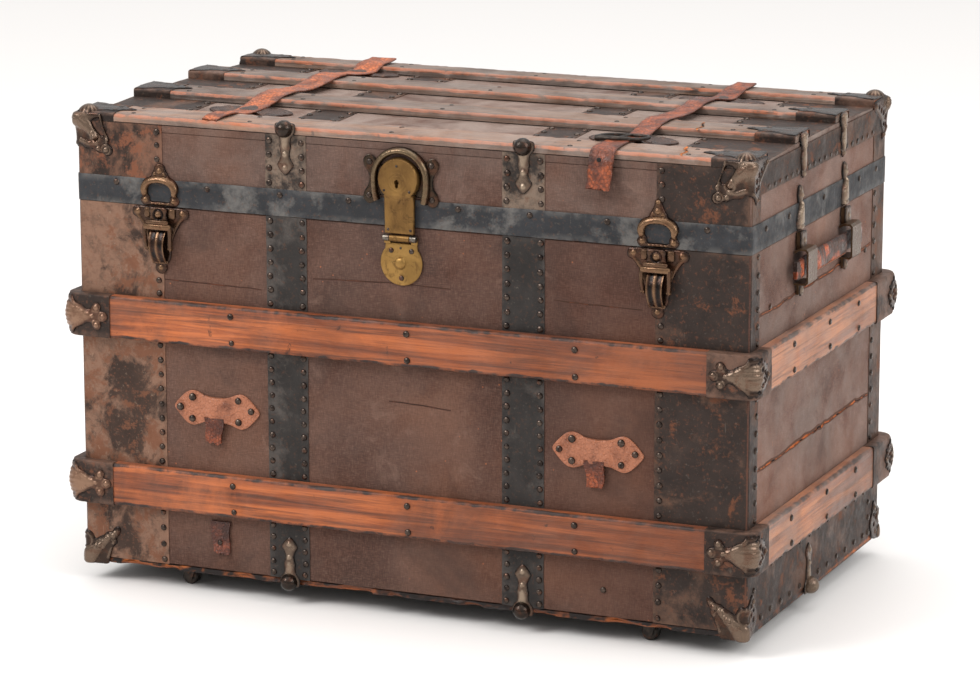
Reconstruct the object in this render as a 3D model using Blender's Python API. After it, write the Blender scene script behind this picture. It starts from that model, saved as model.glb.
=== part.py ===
"""Steamer trunk: a slatted, canvas-covered travelling chest that stands on four rollers.

Metres, +Z up. The origin is on the floor under the middle of the trunk. +X runs along its
length, and its front, with the lock, faces -Y.
"""
import math

import bmesh
import bpy
from mathutils import Matrix, Vector

# Case
WIDTH = 0.860
DEPTH = 0.491
GROUND = 0.031            # floor to the lower edge of the walls
SPLIT = 0.476             # floor to the joint between body and lid
LID_EDGE = 0.574          # floor to the lid's front top edge
CROWN = 0.006             # rise of the lid between its front and its middle
BOARD = 0.011             # wall thickness
TOP_BOARD = 0.008
BOTTOM_BOARD = 0.009
FLOOR_RISE = 0.003        # how far the bottom board stands up between the walls
BOARD_BEVEL = 0.0012
GAP = 0.0003              # running clearance between pieces that touch
CROWN_STEPS = 12

# Hardwood slats around the body and along the lid
SLAT_HEIGHT = 0.052
SLAT_THICK = 0.013
SLAT_BEVEL = 0.0025
SLAT_LEVELS = {"lower": 0.128, "upper": 0.337}
SKIN = 0.0012             # canvas and sheet iron between a board and what is nailed over it
LID_SLAT_WIDTH = 0.051
LID_SLAT_THICK = 0.009
LID_SLAT_SPREAD = (-1.0, -1 / 3, 1 / 3, 1.0)

# Sheet-iron clamps that wrap the slats round the corners, with a cast bumper on the edge
CLAMP_THICK = 0.001
CLAMP_FRONT_LEG = 0.061
CLAMP_SIDE_LEG = {"front": 0.049, "back": 0.080}
BUMPER_RADIUS = 0.0135
BUMPER_INSET = 0.009
BUMPER_HEIGHT = 0.030

# Band around the lid's lower edge
BAND_HEIGHT = 0.033
BAND_THICK = 0.0012

# Rollers under the bottom, each between two ears on a plate
ROLLER_RADIUS = 0.010
ROLLER_LENGTH = 0.013
ROLLER_INSET_X = 0.128
ROLLER_INSET_Y = 0.032
ROLLER_EDGE = 0.0015
AXLE_RADIUS = 0.0025
ROLLER_PLATE = (0.019, 0.014, 0.0012)    # half length, half width, thickness
EAR_THICK = 0.0018
EAR_RADIUS = 0.0048
EAR_BASE_HALF = 0.0085
ROUND_SEGMENTS = 24
SMALL_SEGMENTS = 12
ROLLER_AXIS_Z = ROLLER_RADIUS * math.cos(math.pi / ROUND_SEGMENTS)   # a facet lies on the floor

# Everything screwed or nailed to the outside starts at this distance from the boards
HARDWARE_LIFT = 0.0018
FRONT = -(DEPTH / 2 + HARDWARE_LIFT)
END = WIDTH / 2 + HARDWARE_LIFT
BACK = DEPTH / 2 + HARDWARE_LIFT

# Lock in the middle of the front
LOCK_X = -0.002
LOCK_Z = 0.5333
LOCK_HEAD_RADIUS = 0.0263
LOCK_RIM_OUTER = 0.036
LOCK_RIM_INNER = 0.0295
LOCK_HINGE_Z = 0.463
LOCK_HINGE_LIFT = 0.0045
LOCK_KNUCKLE_RADIUS = 0.004
LOCK_PLATE = 0.0015
LOCK_EAR = (0.0395, 0.0198, 0.0085)      # across and up from the plate's middle, radius
LOCK_EAR_DROP = 0.0025                   # plate's middle below the key's
LOCK_RIM_FOOT = 0.030
LOCK_RIM_RISE = 0.010
LOCK_PIN_RADIUS = 0.0015
LOCK_BORE_RADIUS = 0.0018
CATCH_DROP = 0.1008                      # key down to the middle of the round plate
CATCH_RADIUS = 0.027
CATCH_HALF = 0.0215
CATCH_PLATE = 0.0018
CATCH_BOSS = (0.0070, 0.0045)            # radius, height
HASP_NEAR = 0.0022                       # hasp's back and face in front of the hardware plane
HASP_FAR = 0.0125
HASP_STRAP_NEAR = 0.0045
HASP_STRAP_FAR = 0.0085
HASP_STRAP_HALF = 0.0188
HASP_NECK_HALF = 0.0190
HASP_NECK_DROP = 0.0210
HASP_KNUCKLE_HALF = 0.013

# Spring clasps beside the lock
CLASP_X = 0.319
CLASP_PIVOT_Z = 0.427
CLASP_PIVOT_LIFT = 0.006
CLASP_PIN_RADIUS = 0.0018
CLASP_PIN_HALF = 0.0172
CLASP_CHEEK = (0.0104, 0.0126)           # inner and outer face of the base's cheeks
CLASP_ARM = (0.0130, 0.0175)             # inner and outer face of the lever's arms
CLASP_EYE_RADIUS = 0.0036
KEEPER_THICK = 0.003
KEEPER_OUTLINE = [(0.0, 0.4767), (0.0220, 0.4767), (0.0255, 0.4835), (0.0215, 0.4905), (0.0240, 0.4960),
                  (0.0240, 0.5010), (0.0205, 0.5080), (0.0120, 0.5126), (0.0110, 0.5160), (0.0080, 0.5190),
                  (0.0065, 0.5235), (0.0, 0.5265)]
KEEPER_OPENING = [(0.0, 0.4820), (0.0120, 0.4820), (0.0135, 0.4870), (0.0170, 0.4925), (0.0150, 0.5000),
                  (0.0090, 0.5040), (0.0, 0.5050)]
HOOD_Z = 0.4945
HOOD_OUTER = (0.0235, 0.76)              # radius and upright squash of the hood's two edges
HOOD_INNER = (0.0165, 0.66)
HOOD_RISE = 0.009
CLASP_BASE_THICK = 0.002
CLASP_BASE_OUTLINE = [(0.0, 0.3945), (0.0055, 0.3965), (0.0075, 0.4015), (0.0105, 0.4085), (0.0125, 0.4110),
                      (0.0130, 0.4300), (0.0170, 0.4400), (0.0225, 0.4520), (0.0300, 0.4605),
                      (0.0365, 0.4650), (0.0365, 0.4715), (0.0320, 0.4745), (0.0, 0.4745)]
SPRING_LOW = 0.4085
SPRING_HIGH = 0.4465
SPRING_RISE = 0.0125
SPRING_THICK = 0.0022
SPRING_HALF = 0.0098
SPRING_STEPS = 14
LEVER_BAR = (0.0175, 0.0055, 0.0105, 0.4500, 0.4580)       # half width, near, far, low, high
LEVER_FRAME = (0.0095, 0.0035, 0.0085, 0.4570, 0.4752)
LEVER_BOSS = (0.4665, 0.0042, 0.0030)                      # height, radius, rise

# Handles on both ends
BRACKET_SPREAD = 0.082
HANDLE_Z = 0.435
BRIDGE_LIFT = 0.0175
BRIDGE_THICK = 0.0022
BRIDGE_HALF = 0.0165
BRIDGE_TOP = 0.4565
BRIDGE_LOW = 0.4135
BRACKET_FOOT = 0.4000
BRACKET_ROUND = 0.003                    # chamfer where the bridge turns
SPINE_THICK = 0.005
SPINE_OUTLINE = [(-0.0085, 0.4745), (-0.0095, 0.4640), (-0.0075, 0.4520),
                 (0.0075, 0.4520), (0.0095, 0.4640), (0.0085, 0.4745)]
TAB_HALF = 0.0075
STRAP_LIFT = (0.0060, 0.0090)            # near and far face of the handle's strap
STRAP_REACH = 0.122
HANDLE_STRAP_HALF = 0.0115
GRIP_LIFT = (0.0058, 0.0140)
GRIP_HEIGHT_HALF = 0.0135
GRIP_BEVEL = 0.0025
GRIP_HALF = 0.058

# Hinges at the back
HINGE_X = 0.220
HINGE_HALF = 0.0225
HINGE_KNUCKLE = 0.004
HINGE_AXIS_Y = BACK + HINGE_KNUCKLE
HINGE_PIN_RADIUS = 0.0015
HINGE_MIDDLE = 0.0100                    # half length of the middle knuckle
HINGE_LEAF = 0.0015
HINGE_LEAF_HEIGHT = 0.040
HINGE_CLEAR = HINGE_KNUCKLE + 0.0006     # leaves start this far from the pin

# Old leather straps over the lid
STRAP_X = 0.250
STRAP_WIDTH = 0.030
STRAP_THICK = 0.003
STRAP_LIFT_OVER_SLATS = 0.0008
STRAP_BACK = 0.238
STRAP_FRONT = {"left": -0.232, "right": -0.246}
STRAP_DROP_LOW = 0.540                   # lower end of the part that hangs over the front
STRAP_DROP_BEND = 0.566
STRAP_DROP_FAR = -0.2550
STRAP_DROP_NEAR = -0.2520

OVERLAP = 0.001                          # pieces that are welded together start inside each other
CUT_PAST = 0.01                          # tools that cut go on past what they cut
PIN_SHORT = 0.0004                       # pins end this far inside their knuckles


def clear_scene():
    """Start from nothing."""
    for old in list(bpy.data.objects):
        bpy.data.objects.remove(old, do_unlink=True)


def material(name, colour, roughness, metallic):
    """One plain Principled material."""
    made = bpy.data.materials.new(name)
    made.use_nodes = True
    shader = made.node_tree.nodes["Principled BSDF"]
    shader.inputs["Base Color"].default_value = (*colour, 1.0)
    shader.inputs["Roughness"].default_value = roughness
    shader.inputs["Metallic"].default_value = metallic
    return made


def make_materials():
    """The trunk's materials, by name."""
    return {
        "canvas": material("canvas", (0.075, 0.045, 0.036), 0.85, 0.0),
        "bare_board": material("bare_board", (0.30, 0.14, 0.06), 0.8, 0.0),
        "slat_wood": material("slat_wood", (0.33, 0.12, 0.05), 0.55, 0.0),
        "sheet_iron": material("sheet_iron", (0.045, 0.045, 0.048), 0.5, 0.8),
        "cast_iron": material("cast_iron", (0.10, 0.075, 0.055), 0.45, 0.9),
        "brass": material("brass", (0.35, 0.24, 0.10), 0.4, 1.0),
        "steel": material("steel", (0.25, 0.24, 0.23), 0.4, 1.0),
        "leather": material("leather", (0.17, 0.05, 0.025), 0.7, 0.0),
    }


def add_object(name, mesh_builder, look, smooth=False):
    """Turn a bmesh into a named object with outward faces and one material."""
    bmesh.ops.recalc_face_normals(mesh_builder, faces=mesh_builder.faces)
    mesh = bpy.data.meshes.new(name)
    mesh_builder.to_mesh(mesh)
    mesh_builder.free()
    mesh.materials.append(look)
    if smooth:
        mesh.shade_smooth()
        mesh.set_sharp_from_angle(angle=math.radians(35))
    made = bpy.data.objects.new(name, mesh)
    bpy.context.scene.collection.objects.link(made)
    return made


def box(name, low, high, look, bevel=0.0):
    """A block between two corners, with bevelled edges if asked."""
    builder = bmesh.new()
    size = Vector(high) - Vector(low)
    centre = (Vector(high) + Vector(low)) / 2
    bmesh.ops.create_cube(builder, size=1.0, matrix=Matrix.Translation(centre) @ Matrix.Diagonal((*size, 1.0)))
    if bevel:
        bmesh.ops.bevel(builder, geom=list(builder.edges), offset=bevel, segments=1, affect="EDGES")
    return add_object(name, builder, look)


AXES = {"X": (1, 2, 0), "Y": (2, 0, 1), "Z": (0, 1, 2)}


def place(axis, first, second, along):
    """A point from its two coordinates across an axis and one along it."""
    point = [0.0, 0.0, 0.0]
    for index, value in zip(AXES[axis], (first, second, along)):
        point[index] = value
    return point


def prism(name, outline, axis, start, end, look):
    """Extrude an outline along an axis. Across X it is (y, z), across Y (z, x), across Z (x, y)."""
    builder = bmesh.new()
    rings = []
    for along in (start, end):
        rings.append([builder.verts.new(place(axis, a, b, along)) for a, b in outline])
    count = len(outline)
    builder.faces.new(rings[0])
    builder.faces.new(rings[1])
    for index in range(count):
        after = (index + 1) % count
        builder.faces.new((rings[0][index], rings[0][after], rings[1][after], rings[1][index]))
    return add_object(name, builder, look)


def front_prism(name, outline, start, end, look):
    """Extrude an (x, z) outline along Y."""
    return prism(name, [(z, x) for x, z in outline], "Y", start, end, look)


def arc(centre, radius, first, last, steps):
    """Points along an arc, in degrees, both ends included."""
    points = []
    for index in range(steps + 1):
        angle = math.radians(first + (last - first) * index / steps)
        points.append((centre[0] + radius * math.cos(angle), centre[1] + radius * math.sin(angle)))
    return points


def circle(centre, radius, segments=ROUND_SEGMENTS):
    """A full circle of points."""
    return arc(centre, radius, 0.0, 360.0 * (segments - 1) / segments, segments - 1)


def rod(name, axis, centre, radius, start, end, look, segments=ROUND_SEGMENTS):
    """A round bar along an axis; centre is its two coordinates across that axis."""
    return prism(name, circle(centre, radius, segments), axis, start, end, look)


def turned_ring(name, axis, centre, section, look, segments=ROUND_SEGMENTS):
    """Turn a closed (radius, along) section about an axis: a solid with a hole through it."""
    builder = bmesh.new()
    rings = []
    for step in range(segments):
        angle = 2 * math.pi * (step + 0.5) / segments
        ring = []
        for radius, along in section:
            across = (centre[0] + radius * math.cos(angle), centre[1] + radius * math.sin(angle))
            ring.append(builder.verts.new(place(axis, *across, along)))
        rings.append(ring)
    count = len(section)
    for step in range(segments):
        here = rings[step]
        after = rings[(step + 1) % segments]
        for index in range(count):
            other = (index + 1) % count
            builder.faces.new((here[index], here[other], after[other], after[index]))
    return add_object(name, builder, look, smooth=True)


def dome(name, centre, radius, height, direction, look):
    """A low round boss whose flat side sits at centre and which rises along direction."""
    builder = bmesh.new()
    bmesh.ops.create_uvsphere(builder, u_segments=SMALL_SEGMENTS, v_segments=8, radius=1.0)
    lower_half = [vert for vert in builder.verts if vert.co.z < -0.001]
    bmesh.ops.delete(builder, geom=lower_half, context="VERTS")
    bmesh.ops.holes_fill(builder, edges=[edge for edge in builder.edges if edge.is_boundary])
    turn = Vector((0, 0, 1)).rotation_difference(Vector(direction)).to_matrix().to_4x4()
    size = Matrix.Diagonal((radius, radius, height, 1.0))
    builder.transform(Matrix.Translation(centre) @ turn @ size)
    return add_object(name, builder, look)


def combine(target, tool, operation):
    """Join another solid to this one, or cut it away, and drop the tool."""
    look = target.data.materials[0]
    step = target.modifiers.new("combine", "BOOLEAN")
    step.object = tool
    step.operation = operation
    step.solver = "EXACT"
    evaluated = target.evaluated_get(bpy.context.evaluated_depsgraph_get())
    mesh = bpy.data.meshes.new_from_object(evaluated)
    target.modifiers.clear()
    mesh.name = target.name
    mesh.materials.clear()
    mesh.materials.append(look)
    target.data = mesh
    bpy.data.objects.remove(tool, do_unlink=True)


def join(target, *tools):
    """Weld solids onto a target."""
    for tool in tools:
        combine(target, tool, "UNION")


def cut(target, *tools):
    """Cut solids out of a target."""
    for tool in tools:
        combine(target, tool, "DIFFERENCE")


def pivot(name, location):
    """An empty on a joint's axis, which the moving pieces hang from."""
    empty = bpy.data.objects.new(name, None)
    empty.location = location
    bpy.context.scene.collection.objects.link(empty)
    return empty


def hang(empty, *pieces):
    """Parent pieces to a pivot without moving them."""
    for piece in pieces:
        piece.parent = empty
        piece.matrix_parent_inverse = Matrix.Translation(empty.location).inverted()


def crown_rise(y):
    """How far the lid's top has risen above its front edge at this depth."""
    return CROWN * (1 - (2 * y / DEPTH) ** 2)


def crown_slope(y):
    """Slope of the lid's top at this depth."""
    return -8 * CROWN * y / DEPTH ** 2


def crown_line(low, high, lift):
    """Points of the crowned top from one depth to another."""
    points = []
    for index in range(CROWN_STEPS + 1):
        y = low + (high - low) * index / CROWN_STEPS
        points.append((y, LID_EDGE + lift + crown_rise(y)))
    return points


def make_body_boards(looks):
    """The chest: four walls on a bottom board."""
    top = SPLIT - GAP
    inner_x = WIDTH / 2 - BOARD
    inner_y = DEPTH / 2 - BOARD
    for name, side in (("front_panel", -1), ("back_panel", 1)):
        low_y, high_y = sorted((side * DEPTH / 2, side * inner_y))
        box(name, (-WIDTH / 2, low_y, GROUND), (WIDTH / 2, high_y, top), looks["canvas"], BOARD_BEVEL)
    for name, side in (("left_panel", -1), ("right_panel", 1)):
        low_x, high_x = sorted((side * WIDTH / 2, side * inner_x))
        reach = inner_y - GAP
        box(name, (low_x, -reach, GROUND), (high_x, reach, top), looks["canvas"], BOARD_BEVEL)
    low = (-WIDTH / 2, -DEPTH / 2, GROUND - BOTTOM_BOARD)
    high = (WIDTH / 2, DEPTH / 2, GROUND - GAP)
    board = box("bottom_board", low, high, looks["bare_board"], BOARD_BEVEL)
    reach_x = inner_x - GAP
    reach_y = inner_y - GAP
    low = (-reach_x, -reach_y, GROUND - BOTTOM_BOARD / 2)
    join(board, box("raised", low, (reach_x, reach_y, GROUND + FLOOR_RISE), looks["bare_board"]))


def make_body_slats(looks):
    """Two courses of slats around the body; the front and back ones cover the side ones' ends."""
    inner = SKIN
    outer = SKIN + SLAT_THICK
    for level, middle in SLAT_LEVELS.items():
        low_z = middle - SLAT_HEIGHT / 2
        high_z = middle + SLAT_HEIGHT / 2
        reach = WIDTH / 2 + outer
        for name, side in (("front", -1), ("back", 1)):
            low_y, high_y = sorted((side * (DEPTH / 2 + inner), side * (DEPTH / 2 + outer)))
            low = (-reach, low_y, low_z)
            high = (reach, high_y, high_z)
            box(f"slat_{name}_{level}", low, high, looks["slat_wood"], SLAT_BEVEL)
        reach = DEPTH / 2 + inner - GAP
        for name, side in (("left", -1), ("right", 1)):
            low_x, high_x = sorted((side * (WIDTH / 2 + inner), side * (WIDTH / 2 + outer)))
            low = (low_x, -reach, low_z)
            high = (high_x, reach, high_z)
            box(f"slat_{name}_{level}", low, high, looks["slat_wood"], SLAT_BEVEL)


def corner_outline(side_x, side_y, lift, back, leg_x, leg_y):
    """An L around one corner: lift outside the boards, back from them, with legs from the outside."""
    out_x = WIDTH / 2 + lift
    out_y = DEPTH / 2 + lift
    in_x = WIDTH / 2 + back
    in_y = DEPTH / 2 + back
    points = [(out_x, out_y), (out_x - leg_x, out_y), (out_x - leg_x, in_y),
              (in_x, in_y), (in_x, out_y - leg_y), (out_x, out_y - leg_y)]
    return [(side_x * x, side_y * y) for x, y in points]


def make_slat_clamps(looks):
    """Iron sleeves that hold the slats together at the corners, with a rounded bumper on each."""
    inside = SKIN + SLAT_THICK + GAP
    outside = inside + CLAMP_THICK
    for level, middle in SLAT_LEVELS.items():
        for depth_name, side_y in (("front", -1), ("back", 1)):
            for width_name, side_x in (("left", -1), ("right", 1)):
                name = f"slat_clamp_{depth_name}_{width_name}_{level}"
                side_leg = CLAMP_SIDE_LEG[depth_name]
                shape = corner_outline(side_x, side_y, outside, SKIN, CLAMP_FRONT_LEG, side_leg)
                half = SLAT_HEIGHT / 2 + GAP + CLAMP_THICK
                clamp = prism(name, shape, "Z", middle - half, middle + half, looks["sheet_iron"])
                centre_x = side_x * (WIDTH / 2 + outside - BUMPER_INSET)
                centre_y = side_y * (DEPTH / 2 + outside - BUMPER_INSET)
                low = middle - BUMPER_HEIGHT / 2
                bumper = rod("bumper", "Z", (centre_x, centre_y), BUMPER_RADIUS, low, low + BUMPER_HEIGHT,
                             looks["cast_iron"])
                join(clamp, bumper)
                inner_shape = corner_outline(side_x, side_y, inside, -2 * BUMPER_RADIUS,
                                             CLAMP_FRONT_LEG + CUT_PAST, side_leg + CUT_PAST)
                half = SLAT_HEIGHT / 2 + GAP
                cut(clamp, prism("room", inner_shape, "Z", middle - half, middle + half, looks["steel"]))


def make_rollers(looks):
    """Four iron rollers on brackets under the bottom board; they roll along the trunk's length."""
    plate_top = GROUND - BOTTOM_BOARD - GAP
    half_long, half_wide, thick = ROLLER_PLATE
    plate_low = plate_top - thick
    half_gap = ROLLER_LENGTH / 2 + GAP
    for depth_name, side_y in (("front", -1), ("back", 1)):
        for width_name, side_x in (("left", -1), ("right", 1)):
            x = side_x * (WIDTH / 2 - ROLLER_INSET_X)
            y = side_y * (DEPTH / 2 - ROLLER_INSET_Y)
            low = (x - half_long, y - half_wide, plate_low)
            high = (x + half_long, y + half_wide, plate_top)
            bracket = box(f"roller_bracket_{depth_name}_{width_name}", low, high, looks["cast_iron"])
            for turn in (-1, 1):
                start, end = sorted((y + turn * half_gap, y + turn * (half_gap + EAR_THICK)))
                tip = arc((ROLLER_AXIS_Z, x), EAR_RADIUS, 90.0, 270.0, 8)
                root = plate_low + thick / 2
                base = [(root, x - EAR_BASE_HALF), (root, x + EAR_BASE_HALF)]
                join(bracket, prism("ear", tip + base, "Y", start, end, looks["cast_iron"]))
            reach = half_gap + EAR_THICK - PIN_SHORT
            join(bracket, rod("axle", "Y", (ROLLER_AXIS_Z, x), AXLE_RADIUS, y - reach, y + reach,
                              looks["steel"], SMALL_SEGMENTS))
            half = ROLLER_LENGTH / 2
            bore = AXLE_RADIUS + GAP
            edge = ROLLER_EDGE
            section = [(bore, y - half), (ROLLER_RADIUS - edge, y - half), (ROLLER_RADIUS, y - half + edge),
                       (ROLLER_RADIUS, y + half - edge), (ROLLER_RADIUS - edge, y + half), (bore, y + half)]
            roller = turned_ring(f"roller_{depth_name}_{width_name}", "Y", (ROLLER_AXIS_Z, x), section,
                                 looks["cast_iron"])
            hang(pivot(f"roller_axis_{depth_name}_{width_name}", (x, y, ROLLER_AXIS_Z)), roller)


def make_lid_case(looks, lid_axis):
    """The lid's walls and its crowned top."""
    low = SPLIT + GAP
    wall_top = LID_EDGE - TOP_BOARD - GAP
    inner_x = WIDTH / 2 - BOARD
    inner_y = DEPTH / 2 - BOARD
    for name, side in (("lid_front", -1), ("lid_back", 1)):
        low_y, high_y = sorted((side * DEPTH / 2, side * inner_y))
        wall = box(name, (-WIDTH / 2, low_y, low), (WIDTH / 2, high_y, wall_top), looks["canvas"], BOARD_BEVEL)
        hang(lid_axis, wall)
    reach = inner_y - GAP
    for name, side in (("lid_left", -1), ("lid_right", 1)):
        start, end = sorted((side * WIDTH / 2, side * inner_x))
        outline = crown_line(-reach, reach, -TOP_BOARD - GAP) + [(reach, low), (-reach, low)]
        hang(lid_axis, prism(name, outline, "X", start, end, looks["canvas"]))
    outline = crown_line(-DEPTH / 2, DEPTH / 2, 0.0) + crown_line(DEPTH / 2, -DEPTH / 2, -TOP_BOARD)
    hang(lid_axis, prism("lid_top", outline, "X", -WIDTH / 2, WIDTH / 2, looks["canvas"]))


def make_lid_band(looks, lid_axis):
    """Sheet-iron band around the lid's lower edge, nailed over the joint."""
    low = SPLIT + GAP
    high = low + BAND_HEIGHT
    near = GAP
    far = GAP + BAND_THICK
    band = box("lid_band", (-WIDTH / 2 - far, -DEPTH / 2 - far, low), (WIDTH / 2 + far, DEPTH / 2 + far, high),
               looks["sheet_iron"])
    room = box("room", (-WIDTH / 2 - near, -DEPTH / 2 - near, low - CUT_PAST),
               (WIDTH / 2 + near, DEPTH / 2 + near, high + CUT_PAST), looks["sheet_iron"])
    cut(band, room)
    hang(lid_axis, band)


def make_lid_slats(looks, lid_axis):
    """Four slats along the lid, tilted with its crown."""
    outer = DEPTH / 2 - LID_SLAT_WIDTH / 2
    for index, share in enumerate(LID_SLAT_SPREAD):
        y = outer * share
        slope = math.atan(crown_slope(y))
        low = LID_EDGE + crown_rise(y) + SKIN
        half = LID_SLAT_WIDTH / 2
        edge = SLAT_BEVEL
        corners = [(-half, 0.0), (half, 0.0), (half, LID_SLAT_THICK - edge), (half - edge, LID_SLAT_THICK),
                   (-half + edge, LID_SLAT_THICK), (-half, LID_SLAT_THICK - edge)]
        outline = []
        for across, up in corners:
            outline.append((y + across * math.cos(slope) - up * math.sin(slope),
                            low + across * math.sin(slope) + up * math.cos(slope)))
        slat = prism(f"lid_slat_{index + 1}", outline, "X", -WIDTH / 2, WIDTH / 2, looks["slat_wood"])
        hang(lid_axis, slat)


def slat_top(y):
    """Height of the lid slats' upper faces at this depth."""
    return LID_EDGE + crown_rise(y) + SKIN + LID_SLAT_THICK


def make_lid_straps(looks, lid_axis):
    """Two old leather straps across the lid slats; the right one hangs over the front edge."""
    for name, side in (("left", -1), ("right", 1)):
        front_y = STRAP_FRONT[name]
        low_line = []
        high_line = []
        for index in range(CROWN_STEPS + 1):
            y = front_y + (STRAP_BACK - front_y) * index / CROWN_STEPS
            low_line.append((y, slat_top(y) + STRAP_LIFT_OVER_SLATS))
            high_line.append((y, slat_top(y) + STRAP_LIFT_OVER_SLATS + STRAP_THICK))
        outline = low_line + high_line[::-1]
        if name == "right":
            shoulder = slat_top(front_y)
            outline += [(STRAP_DROP_NEAR, shoulder - 0.002), (STRAP_DROP_FAR, STRAP_DROP_BEND),
                        (STRAP_DROP_FAR, STRAP_DROP_LOW), (STRAP_DROP_NEAR, STRAP_DROP_LOW),
                        (STRAP_DROP_NEAR, STRAP_DROP_BEND), (STRAP_DROP_NEAR + 0.0025, shoulder - 0.004)]
        x = side * STRAP_X
        hang(lid_axis, prism(f"lid_strap_{name}", outline, "X", x - STRAP_WIDTH / 2, x + STRAP_WIDTH / 2,
                             looks["leather"]))


def make_hinges(looks, lid_axis):
    """Two butt hinges on the back: three knuckles on a pin, which the lower leaf carries."""
    leaf = HINGE_LEAF
    centre = (HINGE_AXIS_Y, SPLIT)
    middle = HINGE_MIDDLE
    for name, side in (("left", -1), ("right", 1)):
        x = side * HINGE_X
        low = (x - HINGE_HALF, BACK, SPLIT - HINGE_CLEAR - HINGE_LEAF_HEIGHT)
        high = (x + HINGE_HALF, BACK + leaf, SPLIT - HINGE_CLEAR)
        lower = box(f"hinge_lower_{name}", low, high, looks["sheet_iron"])
        for turn in (-1, 1):
            near, far = sorted((x + turn * middle, x + turn * HINGE_HALF))
            join(lower, box("web", (near, BACK, SPLIT - HINGE_CLEAR - OVERLAP), (far, BACK + leaf, SPLIT),
                            looks["steel"]))
            join(lower, rod("knuckle", "X", centre, HINGE_KNUCKLE, near, far, looks["steel"], SMALL_SEGMENTS))
        reach = HINGE_HALF - PIN_SHORT
        join(lower, rod("pin", "X", centre, HINGE_PIN_RADIUS, x - reach, x + reach, looks["steel"],
                        SMALL_SEGMENTS))
        low = (x - HINGE_HALF, BACK, SPLIT + HINGE_CLEAR)
        high = (x + HINGE_HALF, BACK + leaf, SPLIT + HINGE_CLEAR + HINGE_LEAF_HEIGHT)
        upper = box(f"hinge_upper_{name}", low, high, looks["sheet_iron"])
        half = middle - GAP
        join(upper, box("web", (x - half, BACK, SPLIT), (x + half, BACK + leaf, SPLIT + HINGE_CLEAR + OVERLAP),
                        looks["steel"]))
        join(upper, rod("knuckle", "X", centre, HINGE_KNUCKLE, x - half, x + half, looks["steel"],
                        SMALL_SEGMENTS))
        cut(upper, rod("bore", "X", centre, HINGE_PIN_RADIUS + GAP, x - half - CUT_PAST / 5,
                       x + half + CUT_PAST / 5, looks["steel"], SMALL_SEGMENTS))
        hang(lid_axis, upper)


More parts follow.
